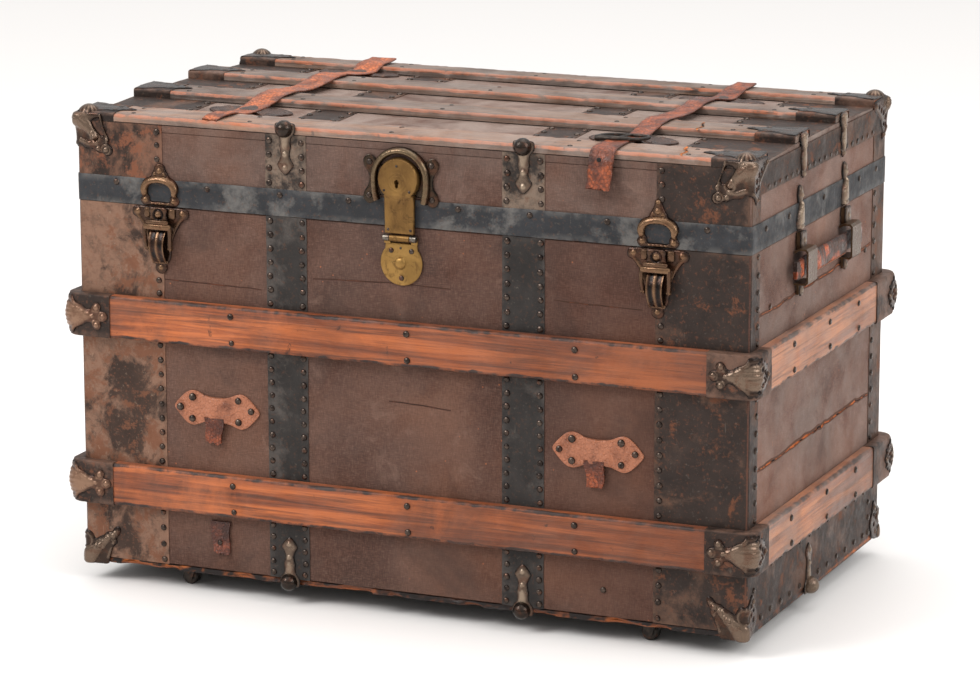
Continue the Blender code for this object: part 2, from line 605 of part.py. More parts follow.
def make_lock(looks, lid_axis):
    """Case on the lid, hasp with the key plate, and the round plate that carries the hasp's hinge."""
    ear_x, ear_z, ear_radius = LOCK_EAR
    ears = []
    for turn_x, turn_z, first in ((1, 1, -60), (-1, 1, 30), (-1, -1, 120), (1, -1, 210)):
        centre = (LOCK_X + turn_x * ear_x, LOCK_Z - LOCK_EAR_DROP + turn_z * ear_z)
        ears += arc(centre, ear_radius, first, first + 210, 8)
    case = front_prism("lock_case", ears, FRONT - LOCK_PLATE, FRONT, looks["brass"])
    foot = LOCK_Z - LOCK_RIM_FOOT
    rim = arc((LOCK_X, LOCK_Z), LOCK_RIM_OUTER, 0, 180, ROUND_SEGMENTS)
    rim += [(LOCK_X - LOCK_RIM_OUTER, foot), (LOCK_X - LOCK_RIM_INNER, foot)]
    rim += arc((LOCK_X, LOCK_Z), LOCK_RIM_INNER, 180, 0, ROUND_SEGMENTS)
    rim += [(LOCK_X + LOCK_RIM_INNER, foot), (LOCK_X + LOCK_RIM_OUTER, foot)]
    join(case, front_prism("rim", rim, FRONT - LOCK_RIM_RISE, FRONT - LOCK_PLATE / 3, looks["brass"]))
    hang(lid_axis, case)

    hinge_y = FRONT - LOCK_HINGE_LIFT
    hinge = (hinge_y, LOCK_HINGE_Z)
    top = LOCK_HINGE_Z - LOCK_KNUCKLE_RADIUS - 0.0007
    centre_z = LOCK_Z - CATCH_DROP
    disc = arc((LOCK_X, centre_z), CATCH_RADIUS, 140, 400, 20)
    disc += [(LOCK_X + CATCH_HALF, top), (LOCK_X - CATCH_HALF, top)]
    lower = front_prism("lock_catch_plate", disc, FRONT - CATCH_PLATE, FRONT, looks["brass"])
    join(lower, dome("boss", (LOCK_X, FRONT - 0.0015, centre_z), *CATCH_BOSS, (0, -1, 0), looks["brass"]))
    for turn in (-1, 1):
        near, far = sorted((LOCK_X + turn * (HASP_KNUCKLE_HALF + GAP), LOCK_X + turn * CATCH_HALF))
        join(lower, box("web", (near, FRONT - CATCH_PLATE, top - OVERLAP), (far, FRONT, LOCK_HINGE_Z),
                        looks["brass"]))
        join(lower, rod("knuckle", "X", hinge, LOCK_KNUCKLE_RADIUS, near, far, looks["brass"], SMALL_SEGMENTS))
    reach = CATCH_HALF - PIN_SHORT
    join(lower, rod("pin", "X", hinge, LOCK_PIN_RADIUS, LOCK_X - reach, LOCK_X + reach, looks["steel"],
                    SMALL_SEGMENTS))

    strap_low = LOCK_HINGE_Z + LOCK_KNUCKLE_RADIUS + 0.0006
    head = [(LOCK_X + LOCK_HEAD_RADIUS, LOCK_Z)] + arc((LOCK_X, LOCK_Z), LOCK_HEAD_RADIUS, 15, 165, 20)
    head += [(LOCK_X - LOCK_HEAD_RADIUS, LOCK_Z)] + arc((LOCK_X, LOCK_Z), LOCK_HEAD_RADIUS, 195, 218, 3)
    neck_z = LOCK_Z - HASP_NECK_DROP
    head += [(LOCK_X - HASP_NECK_HALF, neck_z), (LOCK_X + HASP_NECK_HALF, neck_z)]
    head += arc((LOCK_X, LOCK_Z), LOCK_HEAD_RADIUS, 322, 345, 3)
    hasp = front_prism("lock_hasp", head, FRONT - HASP_FAR, FRONT - HASP_NEAR, looks["brass"])
    join(hasp, box("strap", (LOCK_X - HASP_STRAP_HALF, FRONT - HASP_STRAP_FAR, strap_low),
                   (LOCK_X + HASP_STRAP_HALF, FRONT - HASP_STRAP_NEAR, LOCK_Z - HASP_NECK_DROP / 2),
                   looks["brass"]))
    half = HASP_KNUCKLE_HALF
    join(hasp, box("web", (LOCK_X - half, FRONT - HASP_STRAP_FAR, LOCK_HINGE_Z),
                   (LOCK_X + half, hinge_y - LOCK_PIN_RADIUS, strap_low + OVERLAP), looks["brass"]))
    join(hasp, rod("knuckle", "X", hinge, LOCK_KNUCKLE_RADIUS, LOCK_X - half, LOCK_X + half, looks["brass"],
                   SMALL_SEGMENTS))
    cut(hasp, rod("bore", "X", hinge, LOCK_BORE_RADIUS, LOCK_X - half - CUT_PAST, LOCK_X + half + CUT_PAST,
                  looks["steel"], SMALL_SEGMENTS))
    hang(pivot("lock_hasp_axis", (LOCK_X, *hinge)), hasp)


def mirrored(half, x):
    """A closed outline about the line at x, from its right half listed bottom to top."""
    right = [(x + across, z) for across, z in half]
    left = [(x - across, z) for across, z in reversed(half) if across > 0]
    return right + left


def make_clasp(name, x, looks, lid_axis):
    """Spring clasp: hooded keeper on the lid, base with a leaf spring on the body, and its lever."""
    keeper = front_prism(f"clasp_keeper_{name}", mirrored(KEEPER_OUTLINE, x), FRONT - KEEPER_THICK, FRONT,
                         looks["cast_iron"])
    edges = []
    for radius, squash in (HOOD_OUTER, HOOD_INNER):
        edges.append([(a, HOOD_Z + (b - HOOD_Z) * squash) for a, b in arc((x, HOOD_Z), radius, -8, 188, 16)])
    hood = edges[0] + edges[1][::-1]
    join(keeper, front_prism("hood", hood, FRONT - HOOD_RISE, FRONT - OVERLAP, looks["cast_iron"]))
    cut(keeper, front_prism("opening", mirrored(KEEPER_OPENING, x), FRONT - 2 * CUT_PAST, FRONT + CUT_PAST,
                            looks["steel"]))
    hang(lid_axis, keeper)

    base = front_prism(f"clasp_base_{name}", mirrored(CLASP_BASE_OUTLINE, x), FRONT - CLASP_BASE_THICK, FRONT,
                       looks["cast_iron"])
    pivot_y = FRONT - CLASP_PIVOT_LIFT
    axle = (pivot_y, CLASP_PIVOT_Z)
    cheek = arc(axle, CLASP_EYE_RADIUS, 90, 270, 8)
    cheek += [(FRONT - OVERLAP, CLASP_PIVOT_Z - 0.0050), (FRONT - OVERLAP, CLASP_PIVOT_Z + 0.0050)]
    for turn in (-1, 1):
        near, far = sorted((x + turn * CLASP_CHEEK[0], x + turn * CLASP_CHEEK[1]))
        join(base, prism("cheek", cheek, "X", near, far, looks["cast_iron"]))
    join(base, rod("pin", "X", axle, CLASP_PIN_RADIUS, x - CLASP_PIN_HALF, x + CLASP_PIN_HALF, looks["steel"],
                   SMALL_SEGMENTS))
    join(base, make_leaf_spring(x, looks))

    half, near, far, low, high = LEVER_BAR
    lever = box(f"clasp_lever_{name}", (x - half, FRONT - far, low), (x + half, FRONT - near, high),
                looks["cast_iron"])
    half, near, far, low, high = LEVER_FRAME
    join(lever, box("frame", (x - half, FRONT - far, low), (x + half, FRONT - near, high), looks["cast_iron"]))
    boss_z, boss_radius, boss_rise = LEVER_BOSS
    join(lever, dome("boss", (x, FRONT - far + OVERLAP / 2, boss_z), boss_radius, boss_rise, (0, -1, 0),
                     looks["cast_iron"]))
    arm_top = LEVER_BAR[3] + OVERLAP
    for turn in (-1, 1):
        near, far = sorted((x + turn * CLASP_ARM[0], x + turn * CLASP_ARM[1]))
        shape = arc(axle, CLASP_EYE_RADIUS, 180, 360, 8)
        shape += [(pivot_y + 0.0030, arm_top), (pivot_y - 0.0040, arm_top)]
        join(lever, prism("arm", shape, "X", near, far, looks["cast_iron"]))
    cut(lever, rod("bore", "X", axle, CLASP_PIN_RADIUS + GAP, x - 2 * CUT_PAST, x + 2 * CUT_PAST,
                   looks["steel"], SMALL_SEGMENTS))
    hang(pivot(f"clasp_axis_{name}", (x, *axle)), lever)


def make_leaf_spring(x, looks):
    """The bowed leaf spring of a clasp's base."""
    outer_line = []
    inner_line = []
    for index in range(SPRING_STEPS + 1):
        share = index / SPRING_STEPS
        z = SPRING_LOW + (SPRING_HIGH - SPRING_LOW) * share
        bow = math.sin(math.pi * min(1.0, 0.08 + share * 0.80))
        outer_line.append((FRONT - 0.0015 - SPRING_RISE * bow, z))
        inner_line.append((FRONT - 0.0015 - SPRING_RISE * bow + SPRING_THICK, z))
    inner_line[0] = (FRONT - OVERLAP / 2, SPRING_LOW)
    return prism("leaf", outer_line + inner_line[::-1], "X", x - SPRING_HALF, x + SPRING_HALF, looks["steel"])


def make_handle(name, side, looks):
    """Leather handle on one end: a strap that slides in two arched brackets."""
    for place_name, turn in (("front", -1), ("back", 1)):
        y = turn * BRACKET_SPREAD
        start, end = sorted((side * END, side * (END + SPINE_THICK)))
        spine = [(y + across, z) for across, z in SPINE_OUTLINE]
        bracket = prism(f"handle_bracket_{name}_{place_name}", spine, "X", start, end, looks["cast_iron"])
        outline = [(z, side * x) for x, z in bridge_profile()]
        join(bracket, prism("bridge", outline, "Y", y - BRIDGE_HALF, y + BRIDGE_HALF, looks["cast_iron"]))
        for edge in (-1, 1):
            low_y, high_y = sorted((y + edge * TAB_HALF, y + edge * 2 * BRIDGE_HALF))
            low_x, high_x = sorted((side * (END - SPINE_THICK), side * (END + SPINE_THICK)))
            cut(bracket, box("trim", (low_x, low_y, BRACKET_FOOT - CUT_PAST),
                             (high_x, high_y, BRIDGE_LOW - OVERLAP / 10), looks["steel"]))
    low_x, high_x = sorted(side * (END + lift) for lift in STRAP_LIFT)
    half = HANDLE_STRAP_HALF
    handle = box(f"handle_{name}", (low_x, -STRAP_REACH, HANDLE_Z - half),
                 (high_x, STRAP_REACH, HANDLE_Z + half), looks["leather"])
    low_x, high_x = sorted(side * (END + lift) for lift in GRIP_LIFT)
    half = GRIP_HEIGHT_HALF
    grip = box("grip", (low_x, -GRIP_HALF, HANDLE_Z - half), (high_x, GRIP_HALF, HANDLE_Z + half),
               looks["leather"], GRIP_BEVEL)
    join(handle, grip)
    hang(pivot(f"handle_axis_{name}", (side * (END + STRAP_LIFT[0]), 0.0, HANDLE_Z)), handle)


def bridge_profile():
    """Side view (out, up) of a handle bracket: foot, arch over the strap, and a step back at the top."""
    far = END + BRIDGE_LIFT
    thick = BRIDGE_THICK
    turn = BRACKET_ROUND
    upper = BRIDGE_TOP
    lower = BRIDGE_LOW
    return [(END, upper - turn), (END + 2 * turn, upper), (far - turn, upper), (far, upper - turn),
            (far, lower + turn), (far - turn, lower), (END + turn, lower), (END + turn, BRACKET_FOOT),
            (END, BRACKET_FOOT), (END, lower + thick), (far - turn - thick / 2, lower + thick),
            (far - thick, lower + turn + thick / 2), (far - thick, upper - turn - thick / 2),
            (far - turn - thick / 2, upper - thick), (END + 2 * turn + thick / 4, upper - thick),
            (END, upper - 2 * turn)]


def main():
    """Build the whole trunk."""
    clear_scene()
    looks = make_materials()
    lid_axis = pivot("lid_axis", (0.0, HINGE_AXIS_Y, SPLIT))
    make_body_boards(looks)
    make_body_slats(looks)
    make_slat_clamps(looks)
    make_rollers(looks)
    make_lid_case(looks, lid_axis)
    make_lid_band(looks, lid_axis)
    make_lid_slats(looks, lid_axis)
    make_lid_straps(looks, lid_axis)
    make_hinges(looks, lid_axis)
    make_lock(looks, lid_axis)
    for name, side in (("left", -1), ("right", 1)):
        make_clasp(name, side * CLASP_X, looks, lid_axis)
        make_handle(name, side, looks)


main()
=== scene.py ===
"""Looks of the steamer trunk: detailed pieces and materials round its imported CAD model.

Metres, +Z up, and the front with the lock faces -Y. Outlines of castings and leather are in
millimetres on the face they sit on.
"""
import itertools
import math

import bpy
import numpy as np
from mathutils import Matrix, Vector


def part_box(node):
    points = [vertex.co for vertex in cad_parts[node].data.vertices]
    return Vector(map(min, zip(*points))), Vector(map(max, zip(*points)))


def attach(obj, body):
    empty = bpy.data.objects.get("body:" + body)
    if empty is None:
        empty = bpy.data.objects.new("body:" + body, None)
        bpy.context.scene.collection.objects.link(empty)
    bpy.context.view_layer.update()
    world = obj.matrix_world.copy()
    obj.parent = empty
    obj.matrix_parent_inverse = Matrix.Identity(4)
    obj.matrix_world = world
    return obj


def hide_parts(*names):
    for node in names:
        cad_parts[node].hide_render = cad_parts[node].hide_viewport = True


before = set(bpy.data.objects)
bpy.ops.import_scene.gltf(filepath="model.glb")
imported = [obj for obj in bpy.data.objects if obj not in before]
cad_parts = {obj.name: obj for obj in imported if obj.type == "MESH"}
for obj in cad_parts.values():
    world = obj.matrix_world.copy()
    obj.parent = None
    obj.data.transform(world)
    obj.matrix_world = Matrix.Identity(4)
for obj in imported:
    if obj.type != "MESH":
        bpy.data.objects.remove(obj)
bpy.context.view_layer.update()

MM = 0.001
PANEL_LOW, PANEL_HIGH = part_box("front_panel")
HALF_W = PANEL_HIGH.x
HALF_D = -PANEL_LOW.y
FOOT = PANEL_LOW.z
SEAM_LOW = PANEL_HIGH.z
SEAM_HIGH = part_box("lid_front")[0].z
CROWN = 0.006
LID_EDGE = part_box("lid_top")[1].z - CROWN
SKIN = 0.0012
SLAT_FACE = -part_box("slat_front_upper")[0].y - HALF_D
LID_SLAT_THICK = 0.009
LID_SLAT_MIDDLES = [sum(corner.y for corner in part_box(f"lid_slat_{n}")) / 2 for n in (1, 2, 3, 4)]
LID_SLAT_HALF = 0.0255
NAIL_RADIUS = 0.0039
NAIL_HEIGHT = 0.0024
CORNER_RADIUS = 0.003
SHEET = 0.0007
SHEET_WAVE = 0.00022
SHEET_RAGGED = 0.0004
CORNERS = list(itertools.product(("front", "back"), ("left", "right")))
SIDES = {"left": -1, "right": 1}

draws = np.random.default_rng(1897)
LATTICE_SIZE = 32
LATTICE = np.random.default_rng(11).random((LATTICE_SIZE,) * 3)


def rough(points, size, seed=0.0):
    """Smooth noise from -1 to 1 whose bumps are about size across."""
    scaled = np.asarray(points, float) / size + seed * 7.31
    cell = np.floor(scaled).astype(int)
    share = scaled - cell
    share = share * share * (3 - 2 * share)
    total = np.zeros(len(scaled))
    for corner in itertools.product((0, 1), repeat=3):
        weight = np.ones(len(scaled))
        for axis in range(3):
            weight = weight * (share[:, axis] if corner[axis] else 1 - share[:, axis])
        index = (cell + np.array(corner)) % LATTICE_SIZE
        total += weight * LATTICE[index[:, 0], index[:, 1], index[:, 2]]
    return 2 * total - 1


def rows_of(*values):
    """Rows of numbers from their columns."""
    return np.stack(values, axis=1)


# Maps from a face's own coordinates (u, v, lift) to the trunk

def on_wall(name):
    """Map (x or y, z, lift) to one wall."""
    def place(points):
        along, up, lift = np.asarray(points, float).T
        if name == "front":
            return rows_of(along, -HALF_D - lift, up)
        if name == "back":
            return rows_of(along, HALF_D + lift, up)
        side = SIDES[name]
        return rows_of(side * (HALF_W + lift), along, up)
    return place


def crown(y):
    """Rise of the lid's top at this depth."""
    return CROWN * (1 - (y / HALF_D) ** 2)


def on_top(points):
    """Map (x, y, lift) to the crowned top of the lid."""
    x, y, lift = np.asarray(points, float).T
    return rows_of(x, y, LID_EDGE + crown(y) + lift)


def round_corner(depth, width, base=0.0):
    """Map (t, z, lift) round an upright corner, with t over 0 on the end and under 0 beside it."""
    side_x = SIDES[width]
    side_y = -1 if depth == "front" else 1
    radius = CORNER_RADIUS
    zone = (radius + base) * math.pi / 4

    def place(points):
        t, z, lift = np.asarray(points, float).T
        turn = np.clip(t / zone, -1, 1) * math.pi / 4 + math.pi / 4
        past = t - np.clip(t, -zone, zone)
        reach = radius + lift
        x = HALF_W - radius + reach * np.sin(turn) + np.minimum(past, 0)
        y = HALF_D - radius + reach * np.cos(turn) - np.maximum(past, 0)
        return rows_of(side_x * x, side_y * y, z)
    return place


def same(points):
    """Leave points where they are."""
    return np.asarray(points, float)


def shifted(place, along, up, scale=MM, mirror=1, flip=1, lift=0.0):
    """Use a map for millimetre shapes drawn about a point of a face."""
    def moved(points):
        points = np.asarray(points, float)
        u = along + mirror * scale * points[:, 0]
        v = up + flip * scale * points[:, 1]
        return place(rows_of(u, v, lift + scale * points[:, 2]))
    return moved


# Meshes

def volume(points, faces):
    """Signed volume of a closed shape, times six."""
    total = 0.0
    for size in sorted({len(face) for face in faces}):
        corners = points[np.array([face for face in faces if len(face) == size])]
        for index in range(1, size - 1):
            total += np.sum(corners[:, 0] * np.cross(corners[:, index], corners[:, index + 1]))
    return total


def grid_faces(index):
    """Quads over a grid of point numbers."""
    corners = (index[:-1, :-1], index[1:, :-1], index[1:, 1:], index[:-1, 1:])
    return np.stack([corner.ravel() for corner in corners], axis=1)


def slab(upper, lower):
    """A closed sheet between two grids of points."""
    rows, columns = upper.shape[:2]
    top = np.arange(rows * columns).reshape(rows, columns)
    under = top + rows * columns
    faces = [grid_faces(top), grid_faces(under)[:, ::-1]]
    for a, b, turn in ((top[0], under[0], 1), (top[-1], under[-1], -1),
                       (top[:, 0], under[:, 0], -1), (top[:, -1], under[:, -1], 1)):
        side = rows_of(a[:-1], a[1:], b[1:], b[:-1])
        faces.append(side[:, ::turn])
    points = np.concatenate((upper.reshape(-1, 3), lower.reshape(-1, 3)))
    return points, np.concatenate(faces).tolist()


def loft(rings, closed=False):
    """A closed shape through a row of rings, with flat ends unless it closes on itself."""
    rings = np.asarray(rings, float)
    count, size = rings.shape[:2]
    index = np.arange(count * size).reshape(count, size)
    index = np.concatenate((index, index[:, :1]), axis=1)
    if closed:
        index = np.concatenate((index, index[:1]))
    faces = grid_faces(index).tolist()
    if not closed:
        faces.append(list(range(size)))
        faces.append(list(range((count - 1) * size, count * size))[::-1])
    return rings.reshape(-1, 3), faces


def tube(path, radii, segments=12, closed=False):
    """A round bar along a path of points."""
    path = np.asarray(path, float)
    radii = np.broadcast_to(radii, len(path))
    if closed:
        ahead = np.roll(path, -1, axis=0) - np.roll(path, 1, axis=0)
    else:
        ahead = np.gradient(path, axis=0)
    ahead /= np.linalg.norm(ahead, axis=1, keepdims=True)
    side = np.cross(ahead[0], (0.31, 0.52, 0.79))
    rings = []
    angles = np.linspace(0, 2 * math.pi, segments, endpoint=False)
    for point, forward, radius in zip(path, ahead, radii):
        side = side - forward * np.dot(side, forward)
        side = side / np.linalg.norm(side)
        other = np.cross(forward, side)
        rings.append(point + radius * (np.outer(np.cos(angles), side) + np.outer(np.sin(angles),
                                                                                 other)))
    return loft(rings, closed)


class Batch:
    """Closed shapes gathered into one piece."""

    def __init__(self):
        self.points = []
        self.faces = []
        self.tones = []
        self.count = 0

    def add(self, points, faces, tone=0.0):
        """Add a shape, turned so that its faces look out."""
        points = np.asarray(points, float)
        turn = -1 if volume(points, faces) < 0 else 1
        self.faces += [[corner + self.count for corner in face][::turn] for face in faces]
        self.points.append(points)
        self.tones.append(np.broadcast_to(np.asarray(tone, float), len(points)))
        self.count += len(points)

    def cast(self, place, shape):
        """Add a shape made by relief, put on a face."""
        points, faces, tone = shape
        self.add(place(points), faces, tone)

    def piece(self, name, look, body, slot, sharp=40.0, replaces=()):
        """Make the gathered shapes one object, with a look by name, that moves with a CAD body."""
        mesh = bpy.data.meshes.new(name)
        mesh.from_pydata(np.concatenate(self.points).tolist(), [], self.faces)
        tone = mesh.attributes.new("tone", "FLOAT", "POINT")
        tone.data.foreach_set("value", np.concatenate(self.tones).astype(np.float32))
        mesh.materials.append(looks[look])
        mesh.shade_smooth()
        mesh.set_sharp_from_angle(angle=math.radians(sharp))
        made = bpy.data.objects.new(name, mesh)
        bpy.context.scene.collection.objects.link(made)
        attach(made, body)
        if replaces:
            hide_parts(*replaces)
        return made


def smooth_outline(points, steps=5):
    """A closed curve through points."""
    points = np.asarray(points, float)
    curve = []
    shares = np.arange(steps) / steps
    for index in range(len(points)):
        a, b, c, d = (points[(index + offset) % len(points)] for offset in (-1, 0, 1, 2))
        for t in shares:
            curve.append(0.5 * (2 * b + (c - a) * t + (2 * a - 5 * b + 4 * c - d) * t ** 2
                                + (3 * b - a - 3 * c + d) * t ** 3))
    return np.array(curve)


def both_sides(half):
    """A closed outline about u = 0 from its right half, listed from bottom to top."""
    left = [(-u, v) for u, v in reversed(half) if u > 0]
    return list(half) + left


def upper_and_lower(half):
    """A closed outline about v = 0 from its upper half, listed from one end to the other."""
    lower = [(u, -v) for u, v in reversed(half) if v > 0]
    return list(half) + lower


def inside(outline, spots):
    """Which spots lie inside a closed outline."""
    hit = np.zeros(len(spots), bool)
    ends = np.roll(outline, -1, axis=0)
    for (ax, ay), (bx, by) in zip(outline, ends):
        crosses = (ay > spots[:, 1]) != (by > spots[:, 1])
        if not crosses.any():
            continue
        at = (bx - ax) * (spots[:, 1] - ay) / (by - ay if by != ay else 1e-12) + ax
        hit ^= crosses & (spots[:, 0] < at)
    return hit


def nearest(outlines, spots):
    """Distance from spots to the nearest of the outlines, and the nearest points."""
    best = np.full(len(spots), 1e9)
    where = spots.copy()
    for outline in outlines:
        for a, b in zip(outline, np.roll(outline, -1, axis=0)):
            along = b - a
            share = np.clip(((spots - a) @ along) / max(along @ along, 1e-12), 0, 1)
            point = a + share[:, None] * along
            distance = np.hypot(*(spots - point).T)
            closer = distance < best
            best[closer] = distance[closer]
            where[closer] = point[closer]
    return best, where


def near_line(u, v, line):
    """Distance to a line of (u, v, size) points, and the size there."""
    best = np.full(len(u), 1e9)
    size = np.zeros(len(u))
    for (au, av, first), (bu, bv, last) in zip(line[:-1], line[1:]):
        du, dv = bu - au, bv - av
        share = np.clip(((u - au) * du + (v - av) * dv) / max(du * du + dv * dv, 1e-12), 0, 1)
        distance = np.hypot(u - au - share * du, v - av - share * dv)
        closer = distance < best
        best[closer] = distance[closer]
        size[closer] = (first + (last - first) * share)[closer]
    return best, size


def relief(outline, lip=0.8, rise=1.6, edge=4.0, knobs=(), ridges=(), grooves=(), pits=(), rings=(),
           holes=(), cell=1.2, extra=None, steps=5):
    """A casting in millimetres: a cushion with knobs, ridges and pits on a flat back.

    knobs and pits are (u, v, radius, height), rings (u, v, radius, half width, height),
    ridges and grooves (height, line of (u, v, radius)). Pits get tone 0: painted shade in pierced
    holes.
    """
    outline = smooth_outline(outline, steps) if steps else np.asarray(outline, float)
    outlines = [outline] + [smooth_outline(hole, steps) for hole in holes]
    low = outline.min(axis=0) - cell / 2
    count = np.ceil((outline.max(axis=0) - low) / cell).astype(int) + 1
    axes = [low[axis] + cell * np.arange(count[axis] + 1) for axis in (0, 1)]
    spots = np.stack(np.meshgrid(*axes, indexing="ij"), axis=-1)
    middles = ((spots[:-1, :-1] + spots[1:, 1:]) / 2).reshape(-1, 2)
    kept = inside(outline, middles)
    for hole in outlines[1:]:
        kept &= ~inside(hole, middles)
    kept = kept.reshape(count)
    padded = np.zeros(count + 2, bool)
    padded[1:-1, 1:-1] = kept
    touching = np.stack([padded[a:a + count[0] + 1, b:b + count[1] + 1] for a in (0, 1) for b in (0,
                                                                                                  1)])
    used = touching.any(axis=0)
    rim = used & ~touching.all(axis=0)
    number = -np.ones(used.shape, int)
    number[used] = np.arange(used.sum())
    flat = spots[used]
    distance, closest = nearest(outlines, flat)
    on_rim = rim[used]
    flat[on_rim] = closest[on_rim]
    distance[on_rim] = 0
    u, v = flat.T
    share = np.clip(distance / edge, 0, 1)
    height = lip + rise * np.sqrt(1 - (1 - share) ** 2)
    for top, line in ridges:
        away, size = near_line(u, v, line)
        bulge = np.sqrt(np.clip(1 - (away / np.maximum(size, 1e-6)) ** 2, 0, 1))
        height = np.maximum(height, height + (top - 0.3 * rise * share) * bulge)
    for top, line in grooves:
        away, size = near_line(u, v, line)
        height -= top * np.exp(-(away / np.maximum(size, 1e-6)) ** 2)
    for ku, kv, radius, top in knobs:
        height += top * np.sqrt(np.clip(1 - ((u - ku) ** 2 + (v - kv) ** 2) / radius ** 2, 0, 1))
    for ru, rv, radius, half, top in rings:
        away = np.abs(np.hypot(u - ru, v - rv) - radius)
        height += top * np.sqrt(np.clip(1 - (away / half) ** 2, 0, 1))
    if extra is not None:
        height += extra(u, v, distance)
    # pit_shade pulls the tone in pits to 0, so the cast looks paint them near-black: painted shade in
    # pierced holes.
    pit_shade = np.zeros(len(u))
    for pu, pv, radius, depth in pits:
        bite = np.clip(1.35 - np.hypot(u - pu, v - pv) / radius, 0, 1)
        pit_shade = np.maximum(pit_shade, np.clip(bite * 2.2, 0, 1))
        height -= depth * np.clip(bite * 2.2, 0, 1)
    height = np.maximum(height, 0.15)
    tone = np.clip((height - lip * 0.8) / (rise + 2.2), 0, 1) * (1 - pit_shade)
    total = len(flat)
    points = np.zeros((2 * total, 3))
    points[:total, :2] = flat
    points[:total, 2] = height
    points[total:, :2] = flat
    cells = np.argwhere(kept)
    a = number[cells[:, 0], cells[:, 1]]
    b = number[cells[:, 0] + 1, cells[:, 1]]
    c = number[cells[:, 0] + 1, cells[:, 1] + 1]
    d = number[cells[:, 0], cells[:, 1] + 1]
    quads = rows_of(a, b, c, d)
    faces = [quads, quads[:, ::-1] + total]
    edges = np.concatenate([quads[:, (0, 1)], quads[:, (1, 2)], quads[:, (2, 3)], quads[:, (3, 0)]])
    keys = edges.min(axis=1) * total + edges.max(axis=1)
    _, first, times = np.unique(keys, return_index=True, return_counts=True)
    border = edges[first[times == 1]]
    faces.append(rows_of(border[:, 1], border[:, 0], border[:, 0] + total, border[:, 1] + total))
    return points, np.concatenate(faces).tolist(), np.concatenate((tone, tone * 0))


def nail_shape():
    """A unit domed nail head on the plane."""
    segments = 10
    angles = np.linspace(0, 2 * math.pi, segments, endpoint=False)
    rings = []
    for radius, height in ((1.0, 0.0), (1.0, 0.22), (0.86, 0.62), (0.5, 0.93)):
        ring = rows_of(radius * np.cos(angles), radius * np.sin(angles), np.full(segments, height))
        rings.append(ring)
    points, faces = loft(rings)
    faces.pop()
    last = (len(rings) - 1) * segments
    faces += [[last + index, last + (index + 1) % segments, len(points)] for index in range(segments)]
    return np.vstack((points, (0.0, 0.0, 1.0))), faces


NAIL_POINTS, NAIL_FACES = nail_shape()


def nail(batch, place, u, v, lift=0.0, radius=NAIL_RADIUS, height=NAIL_HEIGHT, jitter=0.0004):
    """Drive one nail, a little off its mark."""
    du, dv, size = draws.uniform(-1, 1, 3)
    grow = 1 + 0.08 * size
    points = NAIL_POINTS * (radius * grow, radius * grow, height * grow)
    points = points + (u + du * jitter, v + dv * jitter, lift)
    batch.add(place(points), NAIL_FACES, 0.5 + 0.5 * size)


def spaced(first, last, gap):
    """Places from first to last about gap apart."""
    return np.linspace(first, last, max(2, int(round(abs(last - first) / gap)) + 1))


def sheet(batch, place, u_range, v_range, lift=0.0002, step=0.006, seed=0.0):
    """A thin nailed sheet with slight waves and uneven edges."""
    us = spaced(*u_range, step)
    vs = spaced(*v_range, step)
    u, v = np.meshgrid(us, vs, indexing="ij")
    flat = rows_of(u.ravel(), v.ravel(), np.full(u.size, seed))
    wobble = rough(flat, 0.022, seed) * SHEET_WAVE
    edge_u = np.zeros(u.shape)
    edge_u[0] = edge_u[-1] = 1
    edge_v = np.zeros(u.shape)
    edge_v[:, 0] = edge_v[:, -1] = 1
    flat[:, 0] += SHEET_RAGGED * rough(flat, 0.012, seed + 3) * edge_u.ravel()
    flat[:, 1] += SHEET_RAGGED * rough(flat, 0.012, seed + 5) * edge_v.ravel()
    upper = flat.copy()
    upper[:, 2] = lift + SHEET + wobble
    lower = flat.copy()
    lower[:, 2] = lift
    near = np.minimum.reduce((np.abs(upper[:, 0] - us[0]), np.abs(upper[:, 0] - us[-1]),
                              np.abs(upper[:, 1] - vs[0]), np.abs(upper[:, 1] - vs[-1])))
    tone = np.clip(1 - near / 0.008, 0, 1)
    shape = u.shape + (3,)
    points, faces = slab(place(upper).reshape(shape), place(lower).reshape(shape))
    batch.add(points, faces, np.concatenate((tone, tone)))


# Materials

def tint(red, green, blue):
    """A colour given in 0 to 255, as Blender wants it."""
    linear = []
    for value in (red, green, blue):
        share = value / 255
        linear.append(share / 12.92 if share <= 0.04045 else ((share + 0.055) / 1.055) ** 2.4)
    return (*linear, 1.0)


